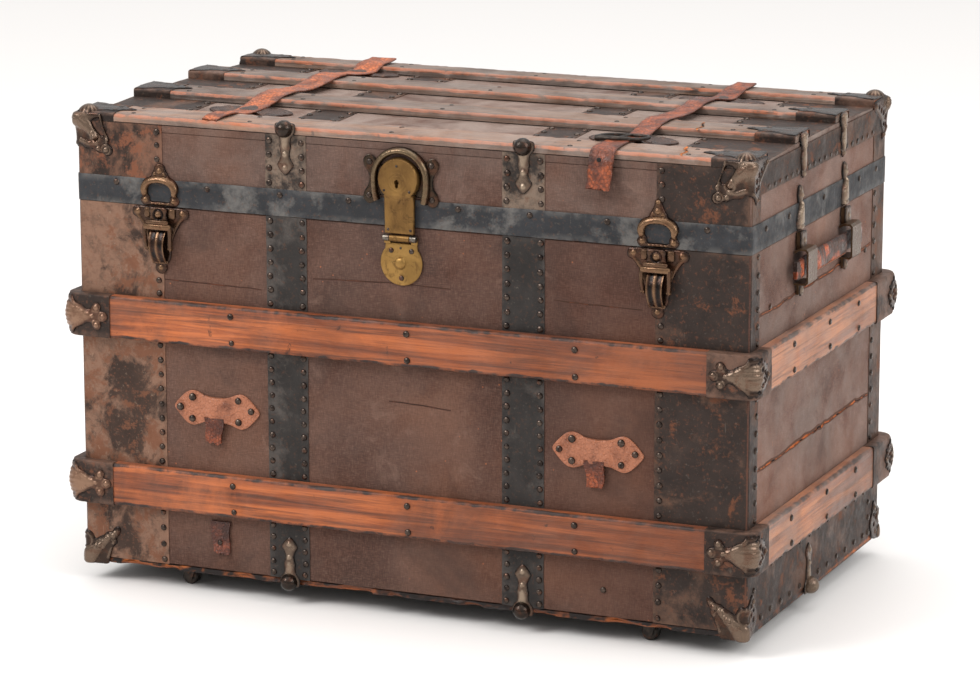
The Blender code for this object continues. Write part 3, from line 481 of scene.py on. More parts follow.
class Look:
    """One procedural material, put together step by step."""

    def __init__(self, name, roughness=0.6, metallic=0.0, specular=0.4):
        self.made = bpy.data.materials.new(name)
        self.made.use_nodes = True
        self.tree = self.made.node_tree
        self.shader = self.tree.nodes["Principled BSDF"]
        self.shader.inputs["Roughness"].default_value = roughness
        self.shader.inputs["Metallic"].default_value = metallic
        self.shader.inputs["Specular IOR Level"].default_value = specular
        self.place = self.tree.nodes.new("ShaderNodeTexCoord").outputs["Object"]
        self.tone = self.attribute("tone")

    def attribute(self, name):
        """A value stored on the mesh."""
        node = self.tree.nodes.new("ShaderNodeAttribute")
        node.attribute_name = name
        return node.outputs["Fac"]

    def feed(self, socket, value):
        """Give a socket a plain value or another node's output."""
        if isinstance(value, bpy.types.NodeSocket):
            self.tree.links.new(value, socket)
        else:
            socket.default_value = value

    def stretched(self, x, y, z):
        """Coordinates scaled along each axis."""
        node = self.tree.nodes.new("ShaderNodeMapping")
        node.inputs["Scale"].default_value = (x, y, z)
        self.feed(node.inputs["Vector"], self.place)
        return node.outputs["Vector"]

    def noise(self, scale, detail=4.0, warp=0.0, where=None, fine=0.55):
        """Noise from 0 to 1."""
        node = self.tree.nodes.new("ShaderNodeTexNoise")
        node.inputs["Scale"].default_value = scale
        node.inputs["Detail"].default_value = detail
        node.inputs["Roughness"].default_value = fine
        node.inputs["Distortion"].default_value = warp
        self.feed(node.inputs["Vector"], where or self.place)
        return node.outputs["Fac"]

    def cells(self, scale):
        """Distance to the nearest of many scattered spots."""
        node = self.tree.nodes.new("ShaderNodeTexVoronoi")
        node.inputs["Scale"].default_value = scale
        self.feed(node.inputs["Vector"], self.place)
        return node.outputs["Distance"]

    def calc(self, operation, first, second=0.0):
        """One sum."""
        node = self.tree.nodes.new("ShaderNodeMath")
        node.operation = operation
        self.feed(node.inputs[0], first)
        self.feed(node.inputs[1], second)
        return node.outputs["Value"]

    def between(self, value, low, high):
        """0 at low, 1 at high."""
        node = self.tree.nodes.new("ShaderNodeMapRange")
        node.inputs["From Min"].default_value = low
        node.inputs["From Max"].default_value = high
        self.feed(node.inputs["Value"], value)
        return node.outputs["Result"]

    def ramp(self, value, *stops):
        """A colour from a value; stops are (place, colour)."""
        node = self.tree.nodes.new("ShaderNodeValToRGB")
        band = node.color_ramp.elements
        while len(band) < len(stops):
            band.new(0.5)
        for element, (where, colour) in zip(band, stops):
            element.position = where
            element.color = tint(*colour)
        self.feed(node.inputs["Fac"], value)
        return node.outputs["Color"]

    def cover(self, mask, under, over):
        """One colour over another where the mask is 1."""
        node = self.tree.nodes.new("ShaderNodeMix")
        node.data_type = "RGBA"
        self.feed(node.inputs["Factor"], mask)
        for name, colour in (("A", under), ("B", over)):
            socket = [s for s in node.inputs if s.name == name and s.type == "RGBA"][0]
            self.feed(socket, tint(*colour) if isinstance(colour, tuple) else colour)
        return [s for s in node.outputs if s.type == "RGBA"][0]

    def lay(self, under, mask, share, over):
        """Let a share of one colour cover another where the mask is 1."""
        return self.cover(self.calc("MULTIPLY", mask, share), under, over)

    def patches(self, scale, detail, warp, fine, low, high):
        """A mask of patches of noise: 0 where it is under low, 1 over high."""
        return self.between(self.noise(scale, detail, warp, fine=fine), low, high)

    def axis(self, name):
        """One coordinate."""
        node = self.tree.nodes.new("ShaderNodeSeparateXYZ")
        self.feed(node.inputs["Vector"], self.place)
        return node.outputs[name]

    def bump(self, height, depth):
        """Raise the surface by height times depth, in metres."""
        node = self.tree.nodes.new("ShaderNodeBump")
        node.inputs["Distance"].default_value = depth
        self.feed(node.inputs["Height"], height)
        self.feed(self.shader.inputs["Normal"], node.outputs["Normal"])

    def finish(self, colour, roughness=None):
        """Connect the colour and roughness and give the material back."""
        self.feed(self.shader.inputs["Base Color"], colour)
        if roughness is not None:
            self.feed(self.shader.inputs["Roughness"], roughness)
        return self.made


DUST = (150, 135, 126)


def canvas_look(name, across, along, light=1.0, dusty=0.0, dust_from=-1.0, shaded=0.0):
    """Painted canvas over boards: a fine weave, uneven brown, scuffs, specks of rust and dust.

    There is less dust below dust_from, and shaded makes it darker and redder toward +X.
    """
    look = Look(name, 0.8, specular=0.15)

    def shade(red, green, blue):
        return (red * light, green * light, blue * light)

    base = look.ramp(look.noise(6.0, 7.0, 0.4), (0.30, shade(58, 38, 31)), (0.50, shade(78, 52, 42)),
                     (0.72, shade(98, 66, 51)))
    threads = look.noise(60.0, 2.0, where=look.stretched(*across))
    wefts = look.noise(60.0, 2.0, where=look.stretched(*along))
    weave = look.calc("ADD", threads, wefts)
    base = look.lay(base, look.between(weave, 1.00, 1.34), 0.42, shade(122, 94, 82))
    base = look.lay(base, look.between(weave, 0.98, 0.66), 0.50, shade(40, 28, 24))
    rubbed = look.between(look.noise(3.2, 6.0, 0.3), 0.50, 0.66)
    base = look.lay(base, rubbed, 0.30, shade(112, 72, 52))
    scuffs = look.patches(26.0, 9.0, 0.5, 0.65, 0.60, 0.70)
    base = look.lay(base, scuffs, 0.28, shade(134, 106, 92))
    stains = look.between(look.noise(11.0, 7.0, 0.5), 0.56, 0.70)
    base = look.lay(base, stains, 0.45, shade(44, 31, 27))
    specks = look.between(look.cells(75.0), 0.10, 0.05)
    sparse = look.between(look.noise(9.0, 2.0), 0.52, 0.60)
    base = look.lay(base, specks, sparse, (148, 88, 58))
    if dusty:
        dust = look.patches(14.0, 8.0, 0.5, 0.62, 0.30, 0.60)
        if dust_from > 0:
            high = look.between(look.axis("Z"), dust_from, dust_from + 0.0004)
            dust = look.calc("MULTIPLY", dust, look.calc("MAXIMUM", high, 0.30))
        base = look.lay(base, dust, dusty, DUST)
    if shaded:
        far = look.between(look.axis("X"), 0.02, 0.36)
        base = look.lay(base, far, shaded, (58, 28, 18))
    look.bump(weave, 0.0006)
    return look.finish(base, look.between(look.noise(30.0), -0.4, 1.2))


def sheet_look(name, dark, worn, rust, worn_from, rust_from, roughness=0.5, pale=(112, 102, 92),
               size=8.0):
    """Blackened sheet iron that has worn and rusted in patches; a bigger size makes them smaller."""
    look = Look(name, roughness, 0.2, 0.22)
    patches = look.noise(size, 12.0, 0.25, fine=0.68)
    base = look.ramp(look.noise(30.0, 6.0), (0.3, tuple(value * 0.7 for value in dark)), (0.7, dark))
    base = look.lay(base, look.between(patches, worn_from, worn_from + 0.08), 0.9, worn)
    grime = look.patches(75.0, 10.0, 0.3, 0.72, 0.46, 0.60)
    base = look.lay(base, grime, 0.42, tuple(value * 0.8 for value in dark))
    spots = look.noise(26.0, 12.0, 0.3, fine=0.75)
    base = look.lay(base, look.between(spots, rust_from, rust_from + 0.06), 0.85, rust)
    fine = look.patches(190.0, 4.0, 0.0, 0.7, 0.56, 0.66)
    base = look.lay(base, fine, 0.45, rust)
    flecks = look.patches(150.0, 5.0, 0.0, 0.7, 0.60, 0.68)
    base = look.lay(base, flecks, 0.3, pale)
    edge = look.calc("MULTIPLY", look.tone, look.between(look.noise(70.0, 6.0), 0.40, 0.60))
    base = look.lay(base, edge, 0.6, worn)
    scratches = look.between(look.noise(55.0, 6.0, where=look.stretched(6.0, 6.0, 0.7)), 0.69, 0.74)
    base = look.lay(base, scratches, 0.3, pale)
    height = look.calc("ADD", look.noise(120.0, 5.0), look.calc("MULTIPLY", patches, 1.6))
    look.bump(height, 0.0008)
    return look.finish(base, look.between(spots, 0.0, 0.95))


def wood_look(name, stretch, bright, middle, dark, edge, roughness=0.5, dust=0.0, edges=(1.20, 1.50),
              shaded=0.0):
    """Old varnished wood: long grain, bright worn parts, dark stains, and dark or bright edges.

    edges is how much tone and noise together start and fill the edge colour, and shaded darkens it
    toward +X.
    """
    look = Look(name, roughness, specular=0.25)
    along = look.stretched(*stretch)
    grain = look.noise(26.0, 10.0, 0.6, where=along, fine=0.66)
    streaks = look.noise(75.0, 7.0, 0.3, where=along, fine=0.62)
    base = look.ramp(grain, (0.30, dark), (0.44, middle), (0.58, bright), (0.78, middle))
    base = look.lay(base, look.between(streaks, 0.50, 0.64), 0.72, dark)
    blotches = look.between(look.noise(7.0, 9.0, 0.5, where=look.stretched(0.6, 0.6, 1.0), fine=0.68),
                            0.48, 0.64)
    base = look.lay(base, blotches, 0.60, dark)
    rubbed = look.patches(6.0, 9.0, 0.4, 0.66, 0.56, 0.66)
    base = look.lay(base, rubbed, 0.5, bright)
    if shaded:
        far = look.between(look.axis("X"), -0.38, 0.40)
        base = look.lay(base, far, shaded, tuple(value * 0.66 for value in middle))
    ragged = look.calc("MULTIPLY", look.noise(42.0, 9.0, 0.4, fine=0.66), 1.2)
    ragged = look.calc("ADD", look.tone, ragged)
    base = look.cover(look.between(ragged, *edges), base, edge)
    chips = look.patches(46.0, 9.0, 0.4, 0.7, 0.63, 0.68)
    base = look.lay(base, chips, 0.75, tuple(value * 0.5 for value in dark))
    if dust:
        film = look.patches(17.0, 9.0, 0.5, 0.66, 0.30, 0.62)
        base = look.lay(base, film, dust, DUST)
    height = look.calc("ADD", grain, look.calc("MULTIPLY", streaks, 0.9))
    look.bump(height, 0.0014)
    return look.finish(base, look.between(grain, -0.2, 1.3))


def cast_look(name, low, middle, high, roughness=0.42, metallic=0.55):
    """Cast metal: dark rusty hollows, painted shade in the pits, and rubbed high spots."""
    look = Look(name, roughness, metallic, 0.5)
    worn = look.calc("ADD", look.tone, look.calc("MULTIPLY", look.noise(90.0, 7.0, fine=0.66), 0.42))
    base = look.ramp(worn, (0.30, low), (0.62, middle), (1.0, high))
    rust = look.patches(70.0, 9.0, 0.4, 0.66, 0.50, 0.62)
    base = look.lay(base, rust, 0.5, (84, 50, 33))
    look.bump(look.noise(240.0, 6.0), 0.0006)
    rough_at = look.calc("MULTIPLY", look.between(look.noise(60.0, 5.0), -0.6, 1.2), roughness * 1.6)
    return look.finish(base, rough_at)


def brass_look(name, dull, clean, stain, roughness=0.34):
    """Aged brass with dull patches and fine scratches."""
    look = Look(name, roughness, 0.85, 0.5)
    base = look.ramp(look.noise(22.0, 8.0, 0.8), (0.34, dull), (0.62, clean))
    spots = look.patches(75.0, 9.0, 0.7, 0.68, 0.55, 0.68)
    base = look.lay(base, spots, 0.7, stain)
    rubbed = look.calc("MULTIPLY", look.tone, look.between(look.noise(50.0, 3.0), 0.35, 0.65))
    base = look.lay(base, rubbed, 0.35, clean)
    scratches = look.noise(70.0, 3.0, where=look.stretched(9.0, 2.0, 1.3))
    look.bump(look.calc("ADD", look.noise(190.0, 4.0), scratches), 0.0005)
    return look.finish(base, look.between(spots, -1.1, 1.6))


def leather_look(name, body, worn, dark, worn_from=0.50, roughness=0.62, creases=0.45):
    """Dry leather with cracks, worn bright patches and darker edges."""
    look = Look(name, roughness, specular=0.35)
    base = look.ramp(look.noise(45.0, 7.0, 0.6), (0.30, dark), (0.58, body))
    rubbed = look.patches(24.0, 8.0, 1.1, 0.62, worn_from, worn_from + 0.12)
    base = look.lay(base, rubbed, 0.85, worn)
    crease = look.between(look.cells(260.0), 0.42, 0.60)
    base = look.lay(base, crease, creases, dark)
    pores = look.patches(150.0, 7.0, 0.0, 0.7, 0.54, 0.66)
    base = look.lay(base, pores, creases, dark)
    base = look.lay(base, look.tone, 0.75, dark)
    height = look.calc("ADD", look.noise(160.0, 6.0), look.calc("MULTIPLY", crease, -0.6))
    look.bump(height, 0.0010)
    return look.finish(base, look.between(look.noise(60.0, 4.0), 0.1, 1.1))


def plain_metal_look(name, low, high, roughness=0.4, metallic=0.8):
    """Small steel parts with a little rust."""
    look = Look(name, roughness, metallic, 0.5)
    base = look.ramp(look.noise(180.0, 5.0), (0.35, low), (0.65, high))
    rust = look.between(look.noise(110.0, 5.0), 0.56, 0.66)
    base = look.lay(base, rust, 0.6, (92, 58, 42))
    look.bump(look.noise(400.0, 3.0), 0.0004)
    return look.finish(base)


def paper_look():
    """Old printed lining paper: buff with faint stripes and stains."""
    look = Look("lining_paper", 0.85, specular=0.2)
    slant = look.calc("ADD", look.axis("X"), look.axis("Y"))
    stripe = look.calc("SINE", look.calc("MULTIPLY", slant, 240.0))
    base = look.ramp(look.noise(12.0, 6.0), (0.3, (150, 126, 96)), (0.7, (186, 164, 130)))
    base = look.lay(base, look.between(stripe, 0.55, 0.8), 0.35, (112, 88, 70))
    stain = look.between(look.noise(6.0, 8.0, 1.2), 0.54, 0.66)
    base = look.lay(base, stain, 0.55, (112, 84, 58))
    look.bump(look.noise(90.0, 5.0), 0.0006)
    return look.finish(base)


def crack_look(name, lips, first, bright):
    """Canvas brown at the lips, and bare wood in the split with near-black patches of painted shade."""
    look = Look(name, 0.8, specular=0.15)
    # The near-black first stop stands for painted shade deep in the split.
    wood = look.ramp(look.noise(60.0, 7.0, fine=0.66), (first, (20, 14, 12)), (first + 0.12, bright))
    base = look.cover(look.between(look.tone, 0.45, 0.8), lips, wood)
    look.bump(look.noise(250.0, 4.0), 0.0008)
    return look.finish(base)


looks = {
    "canvas_x": canvas_look("canvas_front", (2.6, 1.0, 22.0), (22.0, 1.0, 2.6), 1.02, 0.08,
                            shaded=0.42),
    "canvas_lid_x": canvas_look("canvas_lid_front", (2.6, 1.0, 22.0), (22.0, 1.0, 2.6), 1.02, 0.20),
    # The end's canvas is a paler copy (light 1.24) of the front's: painted light on the end, with dust
    # over it.
    "canvas_y": canvas_look("canvas_end", (1.0, 2.6, 22.0), (1.0, 22.0, 2.6), 1.24, 0.32),
    "canvas_top": canvas_look("canvas_lid", (2.6, 22.0, 22.0), (22.0, 2.6, 2.6), 0.98, 0.66,
                              LID_EDGE - 0.0002),
    "iron": sheet_look("sheet_iron_black", (54, 43, 38), (92, 68, 55), (104, 64, 44), 0.53, 0.56),
    "iron_strap": sheet_look("sheet_iron_strap", (51, 47, 45), (78, 72, 68), (82, 56, 42), 0.54, 0.66),
    "iron_patched": sheet_look("sheet_iron_patched", (52, 45, 41), (122, 104, 90), (96, 64, 46), 0.47,
                               0.60, size=16.0),
    "iron_rusty": sheet_look("sheet_iron_rusty", (50, 39, 34), (106, 80, 67), (108, 68, 49), 0.50,
                             0.57),
    "iron_brown": sheet_look("sheet_iron_brown", (50, 38, 32), (118, 84, 67), (120, 74, 53), 0.44, 0.54,
                             0.55, (140, 122, 106)),
    "iron_mottled": sheet_look("sheet_iron_mottled", (70, 52, 43), (130, 98, 80), (112, 72, 52), 0.41,
                               0.52, 0.6, (164, 140, 120), 15.0),
    "iron_band": sheet_look("sheet_iron_band", (54, 55, 58), (98, 95, 92), (92, 64, 48), 0.53, 0.63,
                            0.36, size=12.0),
    "slat": wood_look("slat_wood", (0.10, 1.0, 3.0), (192, 104, 54), (138, 70, 37), (64, 37, 27),
                      (44, 29, 25), 0.42, 0.10, (1.34, 1.60), 0.62),
    "slat_end": wood_look("slat_wood_end", (1.0, 0.10, 3.0), (182, 120, 84), (146, 90, 62),
                          (84, 54, 42), (52, 36, 31), 0.5, 0.35, (1.38, 1.62)),
    "slat_lid": wood_look("slat_wood_lid", (0.10, 3.0, 3.0), (112, 82, 62), (78, 57, 45), (44, 33, 28),
                          (150, 82, 48), 0.6, 0.46, (1.36, 1.50)),
    "slat_first": wood_look("slat_wood_first", (0.10, 3.0, 3.0), (168, 122, 92), (118, 84, 64),
                            (58, 42, 35), (164, 90, 52), 0.6, 0.55, (1.36, 1.50), 0.60),
    # bare: its near-black edge colour covers the bottom board's unsplintered wood as painted shadow.
    "bare": wood_look("bare_wood", (0.12, 2.0, 3.0), (190, 106, 50), (136, 74, 40), (58, 39, 32),
                      (28, 21, 19), 0.75, 0.0, (0.75, 1.15)),
    "cast": cast_look("cast_brown", (14, 9, 8), (52, 38, 30), (104, 86, 72), 0.26, 0.7),
    "cast_copper": cast_look("cast_copper", (28, 18, 14), (84, 58, 44), (128, 98, 78), 0.32, 0.6),
    "cast_dark": cast_look("cast_dark", (10, 8, 7), (34, 27, 23), (62, 53, 46), 0.2, 0.75),
    "cast_tan": cast_look("cast_tan", (20, 15, 13), (84, 68, 56), (140, 122, 104), 0.3, 0.6),
    "cast_bracket": cast_look("cast_bracket", (86, 66, 47), (124, 98, 70), (140, 122, 104), 0.3, 0.6),
    "bronze": cast_look("cast_bronze", (15, 9, 7), (58, 39, 28), (112, 84, 60), 0.26, 0.7),
    "brass": brass_look("brass_aged", (92, 66, 36), (134, 101, 56), (66, 45, 29)),
    "brass_clean": brass_look("brass_rubbed", (112, 84, 44), (154, 119, 66), (84, 59, 34), 0.3),
    "rim": cast_look("lock_rim", (20, 15, 11), (58, 46, 34), (100, 83, 62), 0.24, 0.75),
    "nail": plain_metal_look("nail_steel", (34, 27, 24), (80, 68, 60), 0.26, 0.8),
    "steel": plain_metal_look("steel_bright", (70, 64, 58), (124, 116, 106), 0.3, 0.9),
    "iron_part": plain_metal_look("iron_dark", (34, 30, 28), (62, 54, 48), 0.45, 0.7),
    "keeper": leather_look("leather_tan", (158, 98, 70), (164, 104, 76), (110, 64, 45), 0.42, 0.5,
                           0.12),
    "strap": leather_look("leather_strap", (124, 62, 38), (164, 82, 45), (54, 28, 20), 0.46),
    "strap_torn": leather_look("leather_torn", (142, 76, 46), (190, 102, 58), (70, 36, 25), 0.42),
    "strap_red": leather_look("leather_red", (94, 52, 40), (136, 72, 50), (50, 28, 22), 0.50),
    "strap_dull": leather_look("leather_dull", (74, 52, 42), (116, 76, 54), (40, 27, 23), 0.54),
    "grip": leather_look("leather_grip", (78, 52, 41), (196, 94, 50), (38, 27, 24), 0.46),
    # Near-black, rough and not metal: painted shadow for the punched hole in the right strap.
    "shadow": plain_metal_look("punched_hole_shadow", (10, 9, 9), (16, 14, 13), 0.9, 0.0),
    "paper": paper_look(),
    "split_end": crack_look("split_end", (84, 58, 47), 0.42, (176, 98, 54)),
    "split_front": crack_look("split_front", (72, 49, 40), 0.50, (110, 58, 36)),
    "split_slat": crack_look("split_slat", (120, 98, 82), 0.44, (190, 108, 56)),
}


def paint(nodes, look, bevel=0.0):
    """Give CAD nodes a material, and soft edges if asked."""
    for name in nodes:
        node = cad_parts[name]
        node.data.materials.clear()
        node.data.materials.append(looks[look])
        if bevel:
            soft = node.modifiers.new("soft_edges", "BEVEL")
            soft.width = bevel
            soft.segments = 2
            soft.limit_method = "ANGLE"
            soft.angle_limit = math.radians(40)


def paint_case():
    """Canvas, iron and steel on the CAD nodes that stay in view."""
    paint(("front_panel", "back_panel"), "canvas_x")
    paint(("lid_front", "lid_back"), "canvas_lid_x")
    paint(("left_panel", "right_panel", "lid_left", "lid_right"), "canvas_y")
    paint(("lid_top",), "canvas_top")
    for depth, width in CORNERS:
        paint((f"roller_{depth}_{width}",), "iron_part", 0.0004)
        paint((f"roller_bracket_{depth}_{width}",), "iron_part", 0.0004)
    for width in SIDES:
        paint((f"hinge_lower_{width}", f"hinge_upper_{width}"), "iron_part", 0.0004)
        for depth in ("front", "back"):
            paint((f"handle_bracket_{width}_{depth}",), "cast_bracket", 0.0007)


# Sheet iron

STRAP_INNER = 0.1256
STRAP_OUTER = 0.1786
CORNER_REACH = 0.1132
END_STRIP = {"front": 0.030, "back": 0.046}
BINDING_LOW = 0.541
SLAT_LOW_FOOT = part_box("slat_front_lower")[0].z


def sheet_iron(part, body, low, high):
    """Corner sheets and upright straps of the body or the lid."""
    for depth, width in CORNERS:
        batch = Batch()
        place = round_corner(depth, width)
        reach = (-CORNER_REACH, END_STRIP[depth])
        seed = 1.0 + 2.0 * CORNERS.index((depth, width))
        sheet(batch, place, reach, (low, high), step=0.004, seed=seed)
        look = {"left": "iron_brown", "right": "iron"}[width]
        if part == "body" and width == "left":
            look = "iron_mottled"
        batch.piece(f"corner_sheet_{part}_{depth}_{width}", look, body, "sheet_iron")
    batch = Batch()
    for side in ("front", "back"):
        for turn in (-1, 1):
            across = sorted((turn * STRAP_INNER, turn * STRAP_OUTER))
            sheet(batch, on_wall(side), across, (low, high), seed=turn + 3.0)
    look = "iron_strap" if part == "body" else "iron_patched"
    batch.piece(f"upright_straps_{part}", look, body, "sheet_iron")


def end_sheets():
    """Wide strips along the foot of each end, and the binding along the lid's end edges."""
    for side in SIDES:
        batch = Batch()
        sheet(batch, on_wall(side), (-HALF_D + 0.028, HALF_D - 0.044), (FOOT, SLAT_LOW_FOOT + 0.006),
              seed=21.0)
        batch.piece(f"foot_strip_{side}", "iron", "body", "sheet_iron")
        batch = Batch()
        sheet(batch, on_wall(side), (-HALF_D + 0.002, HALF_D - 0.002), (BINDING_LOW, LID_EDGE),
              lift=0.0009, seed=23.0)
        batch.piece(f"edge_binding_{side}", "iron", "lid", "sheet_iron")


def top_sheets():
    """Iron over the lid's ends and the straps that carry on over the top."""
    for width, turn in SIDES.items():
        batch = Batch()
        across = sorted((turn * 0.318, turn * (HALF_W + 0.0006)))
        sheet(batch, on_top, across, (-HALF_D, HALF_D), step=0.007, seed=31.0 + turn)
        across = sorted((turn * STRAP_INNER, turn * STRAP_OUTER))
        sheet(batch, on_top, across, (-HALF_D, HALF_D), step=0.007, seed=35.0 + turn)
        batch.piece(f"top_sheets_{width}", "iron", "lid", "sheet_iron")


def case_path(radius, out):
    """Points round the case at a distance from its walls."""
    step = 0.006
    points = []
    for index, (sx, sy) in enumerate(((1, -1), (1, 1), (-1, 1), (-1, -1))):
        centre = (sx * (HALF_W - radius), sy * (HALF_D - radius))
        for angle in np.linspace(index * 90 - 90, index * 90, 7):
            turn = math.radians(angle)
            points.append((centre[0] + (radius + out) * math.cos(turn),
                           centre[1] + (radius + out) * math.sin(turn)))
    points.append(points[0])
    path = []
    for a, b in zip(points[:-1], points[1:]):
        a, b = np.array(a), np.array(b)
        steps = max(1, int(np.linalg.norm(b - a) / step))
        path += [a + (b - a) * index / steps for index in range(steps)]
    return np.array(path)


BAND_HEIGHT = 0.0325


def lid_band():
    """The blackened band that covers the seam, a little dented."""
    low, high = SEAM_HIGH, SEAM_HIGH + BAND_HEIGHT
    inner = case_path(CORNER_RADIUS, 0.0009)
    outer = case_path(CORNER_RADIUS, 0.0017)
    rings = []
    for near, far in zip(inner, outer):
        ring = []
        for z in (low, low + 0.0006, low + 0.008, low + 0.016, low + 0.024, high - 0.0006, high):
            edge = 0.35 if z in (low, high) else 0.0
            ring.append((*(far + (near - far) * edge), z))
        ring.append((*near, high))
        ring.append((*near, low))
        rings.append(ring)
    rings = np.array(rings)
    flat = rings.reshape(-1, 3)
    wobble = rough(flat, 0.03, 4.0) * 0.0003
    away = flat[:, :2] / (HALF_W, HALF_D)
    push = np.where(np.abs(away[:, :1]) > np.abs(away[:, 1:]), (1, 0), (0, 1)) * np.sign(away)
    flat[:, :2] += push * wobble[:, None]
    rim = (flat[:, 2] < low + 0.001) | (flat[:, 2] > high - 0.001)
    flat[:, 2] += rim * rough(flat, 0.02, 6.0) * 0.0005
    flat[:, 2] = np.maximum(flat[:, 2], low)
    points, faces = loft(flat.reshape(rings.shape), closed=True)
    batch = Batch()
    batch.add(points, faces, rim * 0.9)
    batch.piece("iron_band", "iron_band", "lid", "sheet_iron", replaces=("lid_band",))


# Nails

ROW_JITTER = 0.0006
STRAP_NAILS = (0.1315, 0.1735)
CORNER_NAILS = 0.3225
TOP_CORNER_NAILS = 0.3235
BAND_NAIL = (0.0017, 0.0038, 0.0020)
LID_SLAT_NAIL = (SKIN + LID_SLAT_THICK - 0.0003, 0.0030, 0.0012)
BAND_NAILS_FRONT = (0.070, 0.160, 0.256, 0.378)
BAND_NAILS_END = (0.047, 0.126, 0.253, 0.386, 0.452)
SLAT_NAILS_FRONT = (-0.221, 0.009, 0.222)
SLAT_NAILS_END = (-0.13, 0.0, 0.11)
LID_SLAT_NAILS = (-0.36, -0.205, -0.02, 0.205, 0.35)


def column(batch, place, u, low, high, gap):
    """An upright row of nails."""
    for v in spaced(low, high, gap):
        nail(batch, place, u, v, SHEET, jitter=ROW_JITTER)


def row(batch, place, v, low, high, gap):
    """A level row of nails."""
    for u in spaced(low, high, gap):
        nail(batch, place, u, v, SHEET, jitter=ROW_JITTER)


SLAT_BANDS = [(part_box(f"slat_front_{level}")[0].z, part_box(f"slat_front_{level}")[1].z)
              for level in ("lower", "upper")]


def open_heights(low, high):
    """The stretches of wall between the slats."""
    room = 0.006
    edges = [low]
    for slat_low, slat_high in SLAT_BANDS:
        edges += [slat_low, slat_high]
    edges.append(high)
    return [(a + room, b - room) for a, b in zip(edges[::2], edges[1::2])]


def body_nails():
    """Rows of nails along every sheet of the body."""
    batch = Batch()
    for low, high in open_heights(FOOT, SEAM_LOW):
        for side in ("front", "back"):
            for turn in (-1, 1):
                for x in STRAP_NAILS:
                    column(batch, on_wall(side), turn * x, low, high, 0.0165)
                column(batch, on_wall(side), turn * CORNER_NAILS, low, high, 0.018)
        for side in SIDES:
            column(batch, on_wall(side), -HALF_D + 0.0235, low, high, 0.021)
            column(batch, on_wall(side), HALF_D - 0.0400, low, high, 0.021)
    for side in SIDES:
        row(batch, on_wall(side), SLAT_BANDS[0][0] - 0.008, -HALF_D + 0.05, HALF_D - 0.06, 0.034)
        row(batch, on_wall(side), FOOT + 0.007, -HALF_D + 0.05, HALF_D - 0.06, 0.034)
        for y in (-0.178, 0.173):
            nail(batch, on_wall(side), y, 0.4040)
    batch.piece("nails_body", "nail", "body", "cast_iron", 30)


def slat_nails():
    """Two nails at three places along each body slat, and more at the ends' slats."""
    batch = Batch()
    for low, high in SLAT_BANDS:
        for side in ("front", "back"):
            for x in SLAT_NAILS_FRONT:
                nail(batch, on_wall(side), x, high - 0.012, SLAT_FACE)
                nail(batch, on_wall(side), x + 0.001, low + 0.008, SLAT_FACE)
        for side in SIDES:
            for y in SLAT_NAILS_END:
                nail(batch, on_wall(side), y, high - 0.012, SLAT_FACE)
                nail(batch, on_wall(side), y + 0.002, low + 0.009, SLAT_FACE)
    batch.piece("nails_slats", "nail", "body", "cast_iron", 30)


def lid_nails():
    """Nails of the lid's band, straps, corner sheets and bindings."""
    batch = Batch()
    for side in ("front", "back"):
        for x in BAND_NAILS_FRONT:
            for turn in (-1, 1):
                nail(batch, on_wall(side), turn * x, 0.502, *BAND_NAIL)
        for turn in (-1, 1):
            for z in spaced(0.5165, 0.566, 0.0165):
                for x in STRAP_NAILS:
                    nail(batch, on_wall(side), turn * x, z, SHEET, jitter=ROW_JITTER)
            for z in spaced(0.5170, 0.5660, 0.0175):
                nail(batch, on_wall(side), turn * CORNER_NAILS, z, SHEET, jitter=ROW_JITTER)
    for side in SIDES:
        for y in BAND_NAILS_END:
            nail(batch, on_wall(side), y - HALF_D, 0.499, *BAND_NAIL)
        row(batch, on_wall(side), 0.5465, -HALF_D + 0.055, HALF_D - 0.055, 0.0205)
    for turn in (-1, 1):
        for gap_low, gap_high in zip(LID_SLAT_MIDDLES[:-1], LID_SLAT_MIDDLES[1:]):
            for y in spaced(gap_low + LID_SLAT_HALF + 0.012, gap_high - LID_SLAT_HALF - 0.012, 0.022):
                for x in (*STRAP_NAILS, TOP_CORNER_NAILS):
                    nail(batch, on_top, turn * x, y, SHEET, jitter=ROW_JITTER)
    for middle in LID_SLAT_MIDDLES:
        for x in LID_SLAT_NAILS:
            for y in (middle - 0.014, middle + 0.014):
                nail(batch, on_top, x, y, *LID_SLAT_NAIL)
    batch.piece("nails_lid", "nail", "lid", "cast_iron", 30)


# Slats

BOARD_STEP = 0.006


